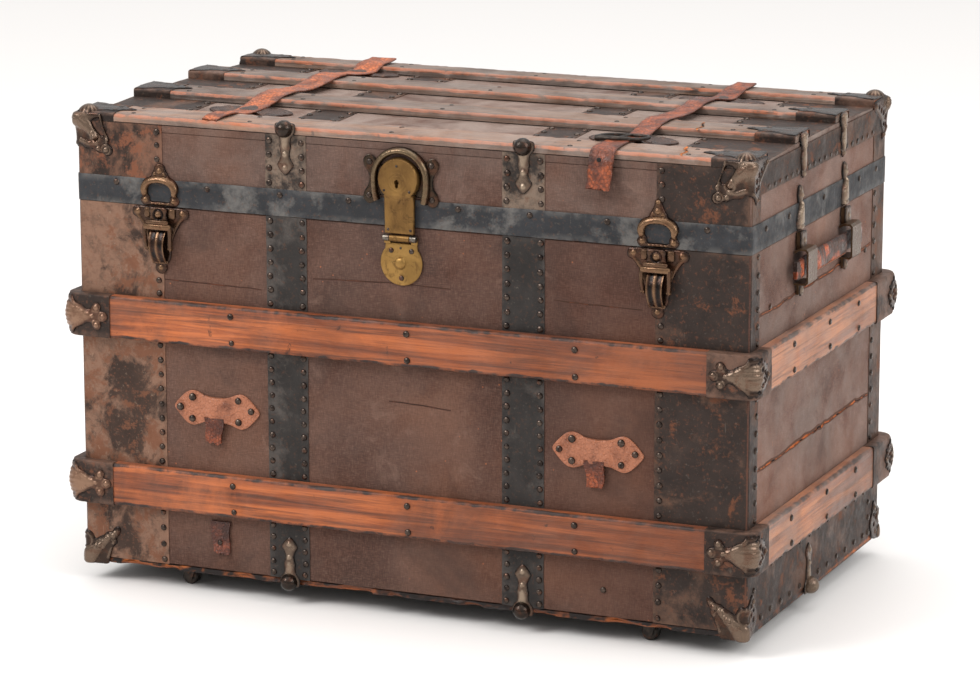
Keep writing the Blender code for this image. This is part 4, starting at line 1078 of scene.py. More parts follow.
def worn_board(low, high, length, face, place=same, chips=1.0, seed=0.0, round_edge=0.0028):
    """A slat that fills a box, with rounded, chipped edges.

    length and face are the axes it runs along and faces; face is signed.
    """
    low, high = np.array(low, float), np.array(high, float)
    out_axis = abs(face) - 1
    across = 3 - length - out_axis
    half = (high[across] - low[across]) / 2
    depth = high[out_axis] - low[out_axis]
    profile = [(-half, 0.0, 0.4), (-half, depth * 0.5, 0.7)]
    for angle in (180, 150, 120, 90):
        turn = math.radians(angle)
        profile.append((-half + round_edge + round_edge * math.cos(turn),
                        depth - round_edge + round_edge * math.sin(turn), 1.0))
    inner = half - round_edge
    for share in (-0.86, -0.66, -0.4, -0.13, 0.13, 0.4, 0.66, 0.86):
        profile.append((inner * share, depth, 0.35 if abs(share) > 0.8 else 0.0))
    for angle in (90, 60, 30, 0):
        turn = math.radians(angle)
        profile.append((half - round_edge + round_edge * math.cos(turn),
                        depth - round_edge + round_edge * math.sin(turn), 1.0))
    profile += [(half, depth * 0.5, 0.7), (half, 0.0, 0.4)]
    profile = np.array(profile)
    middle = (low[across] + high[across]) / 2
    rings, tones = [], []
    places = spaced(low[length], high[length], BOARD_STEP)
    for number, along in enumerate(places):
        trim = 0.0012 if number in (0, len(places) - 1) else 0.0
        where = rows_of(np.full(len(profile), along), profile[:, 0], profile[:, 1])
        bite = np.clip(rough(where, 0.016, seed) - 0.40, 0, 1) * 0.0026 * chips
        bite += np.clip(rough(where, 0.006, seed + 9) - 0.1, 0, 1) * 0.0012 * chips
        bite = bite * np.where(profile[:, 2] == 1.0, 1.0, 0.06)
        swell = rough(where, 0.05, seed + 2) * 0.00018
        a = profile[:, 0] - np.sign(profile[:, 0]) * (bite + trim)
        b = np.maximum(profile[:, 1] - (bite + trim + np.abs(swell)) * (profile[:, 1] > 0.001), 0.0)
        ring = np.zeros((len(profile), 3))
        ring[:, length] = along
        ring[:, across] = middle + a
        ring[:, out_axis] = low[out_axis] + b if face > 0 else high[out_axis] - b
        rings.append(place(ring))
        tones.append(np.clip(profile[:, 2] * 0.9 + bite * 160, 0, 1))
    points, faces = loft(rings)
    return points, faces, np.concatenate(tones)


def body_slats():
    """Eight slats round the body."""
    for level in ("lower", "upper"):
        for side in ("front", "back"):
            name = f"slat_{side}_{level}"
            low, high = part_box(name)
            batch = Batch()
            low.x, high.x = -HALF_W + 0.001, HALF_W - 0.001
            face = -2 if side == "front" else 2
            batch.add(*worn_board(low, high, 0, face, seed=2.0 + len(name) + len(level), chips=1.1))
            batch.piece(f"worn_{name}", "slat", "body", "slat_wood", 50, (name,))
        for side in SIDES:
            name = f"slat_{side}_{level}"
            low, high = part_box(name)
            low.y, high.y = -HALF_D, HALF_D
            batch = Batch()
            batch.add(*worn_board(low, high, 1, SIDES[side], seed=30.0 + len(name), chips=1.0))
            batch.piece(f"worn_{name}", "slat_end", "body", "slat_wood", 50, (name,))


def lid_slats():
    """Four slats along the lid; cracks() puts splits in two of them near the right end."""
    for number, middle in enumerate(LID_SLAT_MIDDLES, 1):
        batch = Batch()
        low = (-HALF_W, middle - LID_SLAT_HALF, SKIN)
        high = (HALF_W, middle + LID_SLAT_HALF, SKIN + LID_SLAT_THICK)
        batch.add(*worn_board(low, high, 0, 3, place=on_top, seed=50.0 + number, chips=1.3))
        look = "slat_first" if number == 1 else "slat_lid"
        batch.piece(f"worn_lid_slat_{number}", look, "lid", "slat_wood", 50, (f"lid_slat_{number}",))


# Corner clamps of the body slats

CLAMP_BASE = SLAT_FACE + 0.0013
CLAMP_REACH = {"front": 0.0455, "back": 0.0765}
CLAMP_FRONT = 0.0575


def clamp_cast():
    """The clamp's casting: a three-lobed front, a bulging corner and a pierced side."""
    tip = 31
    half = [(-55, 0), (-53, 4.5), (-48.5, 6.8), (-45, 7.5), (-46, 12), (-43, 16), (-38.5, 16.5),
            (-35, 13), (-32.5, 9), (-27, 8.5), (-22, 11.5), (-17, 14), (-13, 15), (-9.5, 18), (-7, 23),
            (-3, 24), (0, 22), (3, 24), (8, 21), (12, 22), (15, 17), (20, 17), (24, 12.5), (29, 12),
            (tip - 5, 7),
            (tip, 4), (tip + 2, 0)]
    knobs = [(-40, 11, 3.6, 2.2), (-40, -11, 3.6, 2.2), (-49, 0, 3.4, 2.2), (-34.5, 0, 2.6, 1.6),
             (-36, 6, 1.8, 1.0), (-36, -6, 1.8, 1.0), (tip - 4, 0, 2.8, 1.6)]
    ridges = [(2.6, [(-28, 0, 5.0), (-16, 0, 10.5), (0, 0, 15.0)]),
              (1.2, [(-22, 6, 2.5), (-8, 17, 3.0)]),
              (1.2, [(-22, -6, 2.5), (-8, -17, 3.0)]),
              (1.0, [(4, 14, 3.0), (24, 7, 2.5), (tip, 0, 2.5)]),
              (1.0, [(4, -14, 3.0), (24, -7, 2.5), (tip, 0, 2.5)])]
    rings = [(-40, 11, 5.4, 1.1, 0.8), (-40, -11, 5.4, 1.1, 0.8), (-49, 0, 5.2, 1.1, 0.8)]
    pits = [(10, 9, 2.4, 2.6), (10, -9, 2.4, 2.6), (17, 4.5, 2.2, 2.6), (17, -4.5, 2.2, 2.6),
            (24, 0, 2.4, 2.6), (12, 0, 1.8, 2.6), (6, 17, 1.6, 2.6), (6, -17, 1.6, 2.6)]

    def flutes(u, v, d):
        swell = 2.6 * np.exp(-(u / 9.0) ** 2 - (v / 13.0) ** 2)
        cut = 0.8 * (0.5 + 0.5 * np.cos(v * 1.15)) * np.exp(-((u + 1) / 9.0) ** 2) * np.clip(d / 3, 0,
                                                                                             1)
        return swell - cut

    return relief(upper_and_lower(half), 0.8, 1.1, 3.5, knobs, ridges, (), pits, rings, extra=flutes)


def clamp_sleeve(place, middle, reach_side, seed):
    """Thin iron bent round the slats' corner, folded over their upper and lower edges."""
    half = 0.0262
    profile = [(0.0012, half), (0.0060, half + 0.0004), (CLAMP_BASE - 0.0022, half + 0.0004),
               (CLAMP_BASE - 0.0006, half - 0.0004), (CLAMP_BASE, half - 0.0022)]
    profile += [(CLAMP_BASE, half * share) for share in (0.7, 0.4, 0.1, -0.1, -0.4, -0.7)]
    profile += [(lift, -z) for lift, z in reversed(profile[:5])]
    skin = [(lift - 0.0008 if lift > 0.004 else lift, z * 0.975) for lift, z in reversed(profile)]
    ring_shape = np.array(profile + skin)
    rings = []
    for t in spaced(-CLAMP_FRONT, reach_side, 0.0035):
        ring = np.zeros((len(ring_shape), 3))
        ring[:, 0] = t
        ring[:, 1] = middle + ring_shape[:, 1]
        ring[:, 2] = ring_shape[:, 0]
        dent = rough(ring, 0.014, seed) * 0.00035
        ring[:, 2] += np.minimum(dent, 0.0002)
        rings.append(place(ring))
    points, faces = loft(rings)
    tone = np.tile(np.where(np.arange(len(ring_shape)) % 11 < 4, 0.9, 0.1), len(rings))
    return points, faces, tone


def slat_clamps():
    """Eight corner clamps with their castings."""
    cast = clamp_cast()
    for number, (depth, width) in enumerate(CORNERS):
        place = round_corner(depth, width, CLAMP_BASE)
        for level, (low, high) in zip(("lower", "upper"), SLAT_BANDS):
            middle = (low + high) / 2
            name = f"slat_clamp_{depth}_{width}_{level}"
            sleeve = Batch()
            sleeve.add(*clamp_sleeve(place, middle, CLAMP_REACH[depth], number + 60.0))
            sleeve.piece(f"sleeve_{depth}_{width}_{level}", "iron_rusty", "body", "sheet_iron", 40,
                         (name,))
            batch = Batch()
            batch.cast(shifted(place, 0.0, middle, lift=CLAMP_BASE - 0.0001), cast)
            look = {"left": "cast_copper", "right": "cast"}[width]
            batch.piece(f"bumper_{depth}_{width}_{level}", look, "body", "cast_iron", 55)


# Castings on the lid and the foot

CAP_BASE = 0.001
CAP_LIFT = 0.0008


def lid_cap_face():
    """The lid cap's part on the front and the end, drawn from the corner's top."""
    outline = [(0, 10), (-12, 10.5), (-24, 10), (-32, 9), (-34, 1), (-36, -6), (-38.5, -12), (-41, -17),
               (-43.5, -22), (-42, -27), (-46, -30), (-48, -35), (-45, -40.5), (-39, -41), (-34, -38),
               (-29, -38.5), (-23, -35), (-17, -34), (-11, -33), (-6, -29), (0, -31), (5, -34),
               (10, -40), (14, -43), (18, -39), (19, -31), (23, -25), (27, -17), (34, -12), (42, -7),
               (49, -2),
               (52, 4), (47, 9), (30, 10), (14, 10.5)]
    knobs = [(-25, -19, 3.5, 2.4), (-39, -34, 3.5, 2.2), (-29, -33, 3.0, 2.4), (-41.5, -22, 2.4, 1.6),
             (14, -36, 2.6, 1.4), (44, 3, 2.8, 1.4)]
    ridges = [(3.8, [(-4, 2, 11.0), (-12, -5, 8.0), (-19, -12, 5.5), (-24, -18, 4.5)]),
              (1.6, [(-32, 8, 2.2), (-35, -5, 2.0), (-39, -14, 2.0), (-41, -24, 2.2)]),
              (1.5, [(-27, -27, 2.6), (-17, -28, 2.6), (-6, -24, 3.0)]),
              (1.2, [(2, -28, 2.5), (14, -37, 2.5)]), (1.3, [(20, -16, 2.5), (46, 3, 2.5)])]
    rings = [(-25, -19, 6.2, 1.3, 1.2), (-39, -34, 5.8, 1.2, 1.0)]
    pits = [(9, -14, 2.6, 2.2), (9, -24, 2.4, 2.2), (17, -8, 2.4, 2.2), (25, -4, 2.2, 2.2),
            (16, -22, 2.0, 2.2), (34, 1, 2.0, 2.2)]

    def shell(u, v, d):
        angle = np.arctan2(v - 6, u + 2)
        close = np.exp(-(np.hypot(u + 2, v - 2) / 13.0) ** 2)
        return close * (2.2 + 0.7 * np.cos(angle * 14)) * np.clip(d / 2.5, 0, 1)

    gap = [(-28, 4), (-20, 0), (-25, -10), (-32, -17), (-37, -15), (-35, -6), (-31, 1)]
    return relief(outline, 0.8, 1.2, 3.5, knobs, ridges, (), pits, rings, [gap], extra=shell)


def slat_end_cast():
    """Casting on top of a lid slat's end: u runs in from the end."""
    half = [(0, 0), (0, 22), (4, 24.5), (13, 23.5), (20, 20), (27, 15), (34, 12), (39, 13), (44, 14.5),
            (49, 11.5), (52, 7), (58, 5), (64, 3), (68, 0)]
    knobs = [(43, 8.5, 3.2, 1.0), (43, -8.5, 3.2, 1.0), (60, 0, 2.4, 0.9)]
    ridges = [(0.5, [(2, 0, 14.0), (20, 0, 9.0), (40, 0, 5.0)]), (0.6, [(6, 18, 3.5), (24, 12, 3.0)]),
              (0.6, [(6, -18, 3.5), (24, -12, 3.0)])]

    def waves(u, v, d):
        return 0.15 * np.cos(np.arctan2(v, u + 12) * 11) * np.clip(d / 4, 0, 1) * (u < 32)

    return relief(half[1:] + [(u, -v) for u, v in reversed(half[1:-1])], 0.6, 0.7, 3.0, knobs, ridges,
                  extra=waves)


BALL_POLE = 0.06
BALL_TONE = 0.9


def ball(batch, centre, radii, flutes=0, depth=0.06):
    """A rounded boss, fluted from its top down if asked."""
    rings, tones = [], []
    angles = np.linspace(0, 2 * math.pi, 40, endpoint=False)
    for polar in np.linspace(BALL_POLE, math.pi - BALL_POLE, 26):
        shrink = 1 - depth * (0.5 + 0.5 * np.cos(angles * flutes)) * (math.sin(polar) if flutes else 0)
        ring = rows_of(radii[0] * math.sin(polar) * shrink * np.cos(angles),
                         radii[1] * math.sin(polar) * shrink * np.sin(angles),
                         np.full(len(angles), radii[2] * math.cos(polar)))
        rings.append(ring + centre)
        if flutes:
            tones.append(np.clip(BALL_TONE * (shrink - 1 + depth) / depth, 0, 1))
        else:
            tones.append(np.full(len(angles), BALL_TONE * 0.6))
    points, faces = loft(rings)
    batch.add(points, faces, np.concatenate(tones))


def lid_caps():
    """Corner caps of the lid: front, end and top parts meeting in a fluted ball."""
    face = lid_cap_face()
    for depth, width in CORNERS:
        batch = Batch()
        place = round_corner(depth, width, CAP_BASE)
        batch.cast(shifted(place, 0.0, LID_EDGE, lift=CAP_LIFT), face)
        side_x = SIDES[width]
        side_y = -1 if depth == "front" else 1
        ball(batch, (side_x * (HALF_W - 0.0105), side_y * (HALF_D - 0.0105), LID_EDGE + 0.0035),
             (0.0150, 0.0150, 0.0150), 13, 0.10)
        batch.piece(f"lid_cap_{depth}_{width}", "cast", "lid", "cast_iron", 50)


def slat_ends():
    """Iron sleeves and low castings on the ends of the lid's slats."""
    cast = slat_end_cast()
    for width, side in SIDES.items():
        sleeves = Batch()
        casts = Batch()
        for number, middle in enumerate(LID_SLAT_MIDDLES):
            rings = []
            top = SKIN + LID_SLAT_THICK + 0.0006
            half = LID_SLAT_HALF + 0.0007
            if number in (0, 3):
                half = LID_SLAT_HALF + 0.0002
            profile = [(-half, 0.0009), (-half, top * 0.6), (-half, top - 0.0024),
                       (-half + 0.0008, top - 0.0006), (-half + 0.0026, top)]
            profile += [(half * share, top) for share in (-0.6, -0.2, 0.2, 0.6)]
            profile += [(-y, z) for y, z in reversed(profile[:5])]
            profile += [(half - 0.0009, 0.0009), (half - 0.0009, top - 0.0016), (0.0, top - 0.0007),
                        (-half + 0.0009, top - 0.0016), (-half + 0.0009, 0.0009)]
            profile = np.array(profile)
            for x in spaced(HALF_W - 0.049, HALF_W + 0.0010, 0.0035):
                ring = rows_of(np.full(len(profile), side * x), middle + profile[:, 0], profile[:, 1])
                ring[:, 2] += rough(ring, 0.012, 70.0 + number) * 0.0002 * (profile[:, 1] > 0.006)
                rings.append(on_top(ring))
            points, faces = loft(rings)
            tone = np.tile(np.clip(1.4 - np.abs(profile[:, 1] - top) / 0.003, 0, 1)
                           * (np.abs(profile[:, 0]) > half * 0.8), len(rings))
            sleeves.add(points, faces, tone)
            room = shifted(on_top, side * (HALF_W + 0.0005), middle, mirror=-side, lift=top - 0.0002)
            casts.cast(room, cast)
        sleeves.piece(f"slat_end_sleeves_{width}", "iron_rusty", "lid", "sheet_iron", 40)
        casts.piece(f"slat_end_castings_{width}", "cast", "lid", "cast_iron", 50)


def slat_irons():
    """Cast irons that bend from the middle slats' ends down over the lid's ends."""
    half = [(0, -38), (4.5, -35), (6.2, -31), (4.4, -27), (5.6, -22), (8.4, -16), (7.0, -10), (5.0, -5),
            (6.4, 0), (10.0, 5), (10.6, 11), (7.5, 15.0), (0, 16.0)]
    shape = relief(both_sides(half), 0.8, 2.2, 4.5, [(0, -33, 2.8, 1.6), (0, -1, 2.6, 1.2)],
                   [(2.6, [(0, 12, 7.0), (0, 4, 5.5)]),
                    (2.0, [(0, -5, 3.5), (0, -16, 5.5), (0, -25, 3.0)])])
    for width in SIDES:
        batch = Batch()
        for middle in LID_SLAT_MIDDLES[1:3]:
            place = shifted(on_wall(width), middle, LID_EDGE, lift=0.0018)
            batch.cast(place, shape)
        batch.piece(f"slat_irons_{width}", "cast_tan", "lid", "cast_iron", 50)


BUMPER_PLACES = (-0.1520, 0.1525)
END_BUMPER_PLACE = -0.0265


def bumper_shape():
    """The plate under a ball bumper, drawn down from the ball."""
    half = [(0, -54), (4.5, -51), (8.5, -46), (10.5, -41.5), (8.0, -37), (5.6, -31), (6.5, -24),
            (7.5, -20), (6.8, -15), (8.0, -9), (12.5, -3), (13.5, 4), (11, 8), (0, 8.5)]
    return relief(both_sides(half), 0.9, 1.5, 4.0, [(0, -29, 3.3, 1.8), (0, -45.5, 3.3, 1.8)],
                  [(1.6, [(0, -2, 6.0), (0, -20, 3.5)])])


def ball_bumpers():
    """Ball bumpers at the upright straps' ends, but not on the lid's back, and on each end's foot."""
    shape = bumper_shape()
    for side, part, level, flip in (("front", "lid", LID_EDGE + 0.0065, 1),
                                    ("front", "body", FOOT - 0.002, -1),
                                    ("back", "body", FOOT - 0.002, -1)):
        batch = Batch()
        balls = Batch()
        side_y = -1 if side == "front" else 1
        for x in BUMPER_PLACES:
            place = shifted(on_wall(side), x, level, flip=flip, lift=0.0010)
            batch.cast(place, shape)
            centre = (x, side_y * (HALF_D + 0.0045), level + flip * 0.0015)
            ball(balls, centre, (0.0106, 0.0112, 0.0106))
        batch.piece(f"bumper_plates_{side}_{part}", "cast_tan", part, "cast_iron", 50)
        balls.piece(f"ball_bumpers_{side}_{part}", "cast_dark", part, "cast_iron", 50)
    for width, side_x in SIDES.items():
        batch = Batch()
        place = shifted(on_wall(width), END_BUMPER_PLACE, FOOT - 0.001, flip=-1, lift=0.0010)
        batch.cast(place, shape)
        ball(batch, (side_x * (HALF_W + 0.0045), END_BUMPER_PLACE, FOOT + 0.0005),
             (0.0112, 0.0106, 0.0106))
        batch.piece(f"ball_bumper_{width}_end", "cast_tan", "body", "cast_iron", 50)


def foot_caps():
    """Corner caps at the foot of the body."""
    outline = [(-48, 36), (-45, 40), (-40, 38), (-36, 33), (-30, 32), (-25, 28), (-19, 25), (-13, 22),
               (-10, 27), (-5, 31), (0, 31), (6, 33), (14, 40), (19, 42), (24, 37), (25, 29), (31, 22),
               (34, 13), (30, 4), (26, -4), (14, -9), (0, -10), (-20, -9.5), (-30, -8.5), (-33, -1),
               (-35, 7), (-38, 14), (-43, 19), (-42, 25), (-46, 30)]
    knobs = [(-38, 27.5, 3.5, 2.2), (-20, 15, 3.5, 2.2), (-29, 26, 2.8, 2.0), (-38, 19, 2.4, 1.6),
             (19, 34, 2.6, 1.4)]
    ridges = [(3.4, [(-30, 23, 4.0), (-16, 10, 6.5), (-3, -2, 11.0)]),
              (1.4, [(-44, 34, 2.4), (-34, 27, 2.6)]),
              (1.3, [(-36, 12, 2.2), (-31, 0, 2.4)]), (1.3, [(3, 22, 3.0), (20, 34, 2.5)])]
    rings = [(-38, 27.5, 5.6, 1.2, 0.9), (-20, 15, 6.0, 1.2, 1.0), (0, 19, 8.5, 1.4, 1.0)]
    pits = [(12, 20, 2.6, 2.2), (20, 12, 2.4, 2.2), (12, 30, 2.0, 2.2), (20, 24, 2.0, 2.2)]
    face = relief(outline, 0.8, 1.2, 3.5, knobs, ridges, (), pits, rings)
    for depth, width in CORNERS:
        batch = Batch()
        place = round_corner(depth, width, CAP_BASE)
        batch.cast(shifted(place, 0.0, FOOT, lift=CAP_LIFT), face)
        side_x = SIDES[width]
        side_y = -1 if depth == "front" else 1
        ball(batch, (side_x * (HALF_W - 0.0105), side_y * (HALF_D - 0.0105), FOOT + 0.001),
             (0.0148, 0.0148, 0.0125), 11, 0.08)
        batch.piece(f"foot_cap_{depth}_{width}", "cast", "body", "cast_iron", 50)


BRACKET_PLACE = 0.082


def dowels():
    """Tall castings on the lid's ends that meet the handles' brackets at the seam."""
    half = [(0, 529.5), (4.2, 527.5), (6.4, 523), (6.8, 517), (5.0, 512), (4.0, 507.5), (6.0, 502),
            (8.8, 496), (11.0, 489), (11.4, 483), (10.0, 479), (9.0, 477), (0, 476.8)]
    shape = relief(both_sides(half), 0.9, 3.4, 6.5, [(0, 517.5, 3.0, 1.8)],
                   [(3.2, [(0, 507, 3.2), (0, 490, 7.0), (0, 479, 7.0)])],
                   [(1.4, [(-10, 483, 1.0), (10, 483, 1.0)])])
    spine_half = [(0, 475.4), (9.0, 475), (10.2, 470), (10.6, 464), (9.6, 458), (8.0, 453), (0, 452)]
    spine = relief(both_sides(spine_half), 0.6, 1.6, 4.0, [(0, 464.5, 3.2, 1.8)])
    tab_half = [(0, 397.2), (4.6, 399), (6.6, 404), (5.4, 409), (4.4, 413.8), (0, 414)]
    tab = relief(both_sides(tab_half), 0.6, 1.0, 2.5, [(0, 404, 2.8, 1.6)], (), (), (),
                 [(0, 404, 4.6, 1.1, 0.9)])
    for width in SIDES:
        lid = Batch()
        body = Batch()
        for turn in (-1, 1):
            for batch, cast, lift in ((lid, shape, 0.0010), (body, spine, 0.0066), (body, tab, 0.0046)):
                batch.cast(shifted(on_wall(width), turn * BRACKET_PLACE, 0.0, lift=lift), cast)
        lid.piece(f"dowel_castings_{width}", "cast_tan", "lid", "cast_iron", 50)
        body.piece(f"bracket_relief_{width}", "cast_tan", "body", "cast_iron", 50)


# Lock

LOCK_MIDDLE = -0.002
LOCK_CENTRE = 533.3
LOCK_FRONT = 0.0018
LOCK_PLANE = -HALF_D - LOCK_FRONT
KNUCKLE_RADIUS = 0.0041


def front_mm(x=0.0, lift=0.0):
    """Map millimetre shapes to the front about an upright line."""
    return shifted(on_wall("front"), x, 0.0, lift=lift)


def lock():
    """Case plate and rim on the lid, the hasp, and the round plate under it."""
    centre = LOCK_CENTRE
    plate = [(-48, 553.5), (-42, 559.5), (-34, 557), (-26, 548), (0, 546), (26, 548), (34, 557),
             (42, 559.5), (48, 553.5), (46.5, 545), (42, 538), (40.5, 530.5), (42, 523), (46.5, 516),
             (48, 507.5), (42, 501.5), (34, 504), (26, 512), (0, 512), (-26, 512), (-34, 504),
             (-42, 501.5), (-48, 507.5), (-46.5, 516), (-42, 523), (-40.5, 530.5), (-42, 538),
             (-46.5, 545)]
    shape = relief(plate, 1.0, 0.8, 2.0, cell=1.0)
    rivets = {"lid": Batch(), "lock_hasp": Batch(), "body": Batch()}
    marks = (("lid", 0.0032, 3.8, ((-40, 551), (39.5, 551), (-41, 511), (39.5, 510.5))),
             ("lock_hasp", 0.0126, 1.7, ((-1.2, 549.3), (-17.0, 519.7), (15.0, 519.7))),
             ("lock_hasp", 0.0092, 1.9, ((-13.8, 473.3), (15.2, 473.9))),
             ("body", 0.0029, 3.5, ((-12.4, 447.0), (13.3, 448.0), (0.4, 414.6))),
             ("body", 0.0029, 1.7, ((-0.2, 450.5),)))
    for part, lift, size, spots in marks:
        for u, v in spots:
            nail(rivets[part], on_wall("front"), LOCK_MIDDLE + u * MM, v * MM, lift, size * MM,
                 size * 0.6 * MM)
    for part, batch in rivets.items():
        batch.piece(f"lock_rivets_{part}", "nail", part, "brass", 30)
    batch = Batch()
    batch.cast(front_mm(LOCK_MIDDLE, 0.0016), shape)
    rings = []
    path = [(-29.6, centre - 27.0, 200.0), (-31.8, centre - 18.0, 190.0), (-32.7, centre - 9.0, 184.0)]
    path += [(32.8 * math.cos(math.radians(a)), centre + 32.8 * math.sin(math.radians(a)), a)
             for a in np.linspace(180, 0, 41)]
    path += [(32.7, centre - 9.0, -4.0), (31.8, centre - 18.0, -10.0), (29.6, centre - 27.0, -20.0)]
    for u, v, angle in path:
        out = np.array((math.cos(math.radians(angle)), math.sin(math.radians(angle))))
        ring = []
        for across, lift in ((5.2, 0.5), (4.8, 3.6), (3.8, 6.2), (2.2, 7.9), (0.3, 8.6), (-1.5, 8.2),
                             (-2.7, 6.6), (-3.2, 4.2), (-3.2, 0.5)):
            ring.append((u + out[0] * across, v + out[1] * across, lift))
        rings.append(front_mm(LOCK_MIDDLE, LOCK_FRONT)(np.array(ring)))
    points, faces = loft(rings)
    tone = np.tile((0.1, 0.3, 0.6, 0.9, 1.0, 0.9, 0.6, 0.3, 0.1), len(rings))
    rim = Batch()
    rim.add(points, faces, tone)
    batch.piece("lock_plate", "rim", "lid", "brass", 45, ("lock_case",))
    rim.piece("lock_rim", "rim", "lid", "brass", 45)

    head = [(19.2, 514.5), (19.0, 500), (18.6, 480), (18.4, 468.5), (-18.4, 468.5), (-18.6, 480),
            (-19.0, 500), (-19.2, 514.5)]
    arc = [(26.0 * math.cos(math.radians(a)), centre + 26.0 * math.sin(math.radians(a)))
           for a in range(226, -47, -8)]
    keyhole = (-1.2, centre - 3.0)
    rings = [(*keyhole, 10.5, 0.8, -0.45), (*keyhole, 7.4, 0.6, -0.35), (0, centre, 24.6, 0.9, 0.5)]
    pits = [(keyhole[0], keyhole[1], 2.1, 5.0), (keyhole[0], keyhole[1] - 3.4, 1.2, 5.0),
            (keyhole[0], keyhole[1] - 2.2, 1.2, 5.0), (keyhole[0], keyhole[1] - 5.0, 1.3, 5.0)]

    def step_up(u, v, d):
        return 3.2 / (1 + np.exp(-(v - (centre - 21.0)) / 1.6)) * np.clip(d / 1.6 + 0.2, 0, 1)

    shape = relief(np.array(arc + head), 3.2, 1.6, 2.2, (), (), (), pits, rings, extra=step_up, steps=0,
                   cell=0.8)
    hasp = Batch()
    hasp.cast(front_mm(LOCK_MIDDLE, LOCK_FRONT + 0.0030), shape)
    hinge_y = LOCK_PLANE - 0.0045
    hinge_z = 0.463
    hasp.add(*knuckle(LOCK_MIDDLE - 0.0128, LOCK_MIDDLE + 0.0128, hinge_y, hinge_z, KNUCKLE_RADIUS),
             0.8)
    hasp.piece("hasp", "brass", "lock_hasp", "brass", 40, ("lock_hasp",))

    catch = [(20.0, 456.5), (21.0, 448)] + [(26.8 * math.cos(math.radians(a)), 432.5 + 26.8
                                           * math.sin(math.radians(a))) for a in range(36, -217, -9)]
    catch += [(-21.0, 448), (-20.0, 456.5)]
    knobs = [(-0.9, 432.5, 7.2, 3.6)]
    shape = relief(np.array(catch), 1.0, 0.9, 2.4, knobs, (), (), (), [(-0.9, 432.5, 8.6, 1.2, 0.3)],
                   steps=0, cell=0.8)
    plate = Batch()
    plate.cast(front_mm(LOCK_MIDDLE, LOCK_FRONT - 0.0006), shape)
    plate.piece("catch_plate", "brass_clean", "body", "brass", 40, ("lock_catch_plate",))
    ends = Batch()
    web = Batch()
    for low, high in ((-0.0212, -0.0132), (0.0132, 0.0212)):
        ends.add(*knuckle(LOCK_MIDDLE + low, LOCK_MIDDLE + high, hinge_y, hinge_z, KNUCKLE_RADIUS), 0.8)
        web.add(*block((LOCK_MIDDLE + low, LOCK_PLANE - 0.0022, 0.4555),
                       (LOCK_MIDDLE + high, -HALF_D - 0.0010, 0.4640), 0.0004), 0.4)
    ends.piece("catch_knuckles", "steel", "body", "brass", 40)
    web.piece("catch_webs", "brass_clean", "body", "brass", 40)


def knuckle(low, high, y, z, radius):
    """A hinge knuckle along X with rounded rims."""
    segments = 18
    rings = []
    angles = np.linspace(0, 2 * math.pi, segments, endpoint=False)
    edge = 0.0006
    for x, size in ((low, radius - edge), (low + edge, radius), (high - edge, radius),
                    (high, radius - edge)):
        rings.append(rows_of(np.full(segments, x), y + size * np.cos(angles),
                             z + size * np.sin(angles)))
    return loft(rings)


def block(low, high, edge):
    """A box with rounded edges along X."""
    rings = []
    for along, shrink in ((low[0], edge), (low[0] + edge, 0.0), (high[0] - edge, 0.0), (high[0], edge)):
        ring = []
        for far_y, far_z, start in ((1, 1, 0), (0, 1, 90), (0, 0, 180), (1, 0, 270)):
            y = high[1] - edge if far_y else low[1] + edge
            z = high[2] - edge if far_z else low[2] + edge
            for angle in (0, 45, 90):
                turn = math.radians(start + angle)
                ring.append((along, y + (edge - shrink) * math.cos(turn),
                             z + (edge - shrink) * math.sin(turn)))
        rings.append(ring)
    return loft(rings)


# Clasps

CLASP_PLACE = 0.319


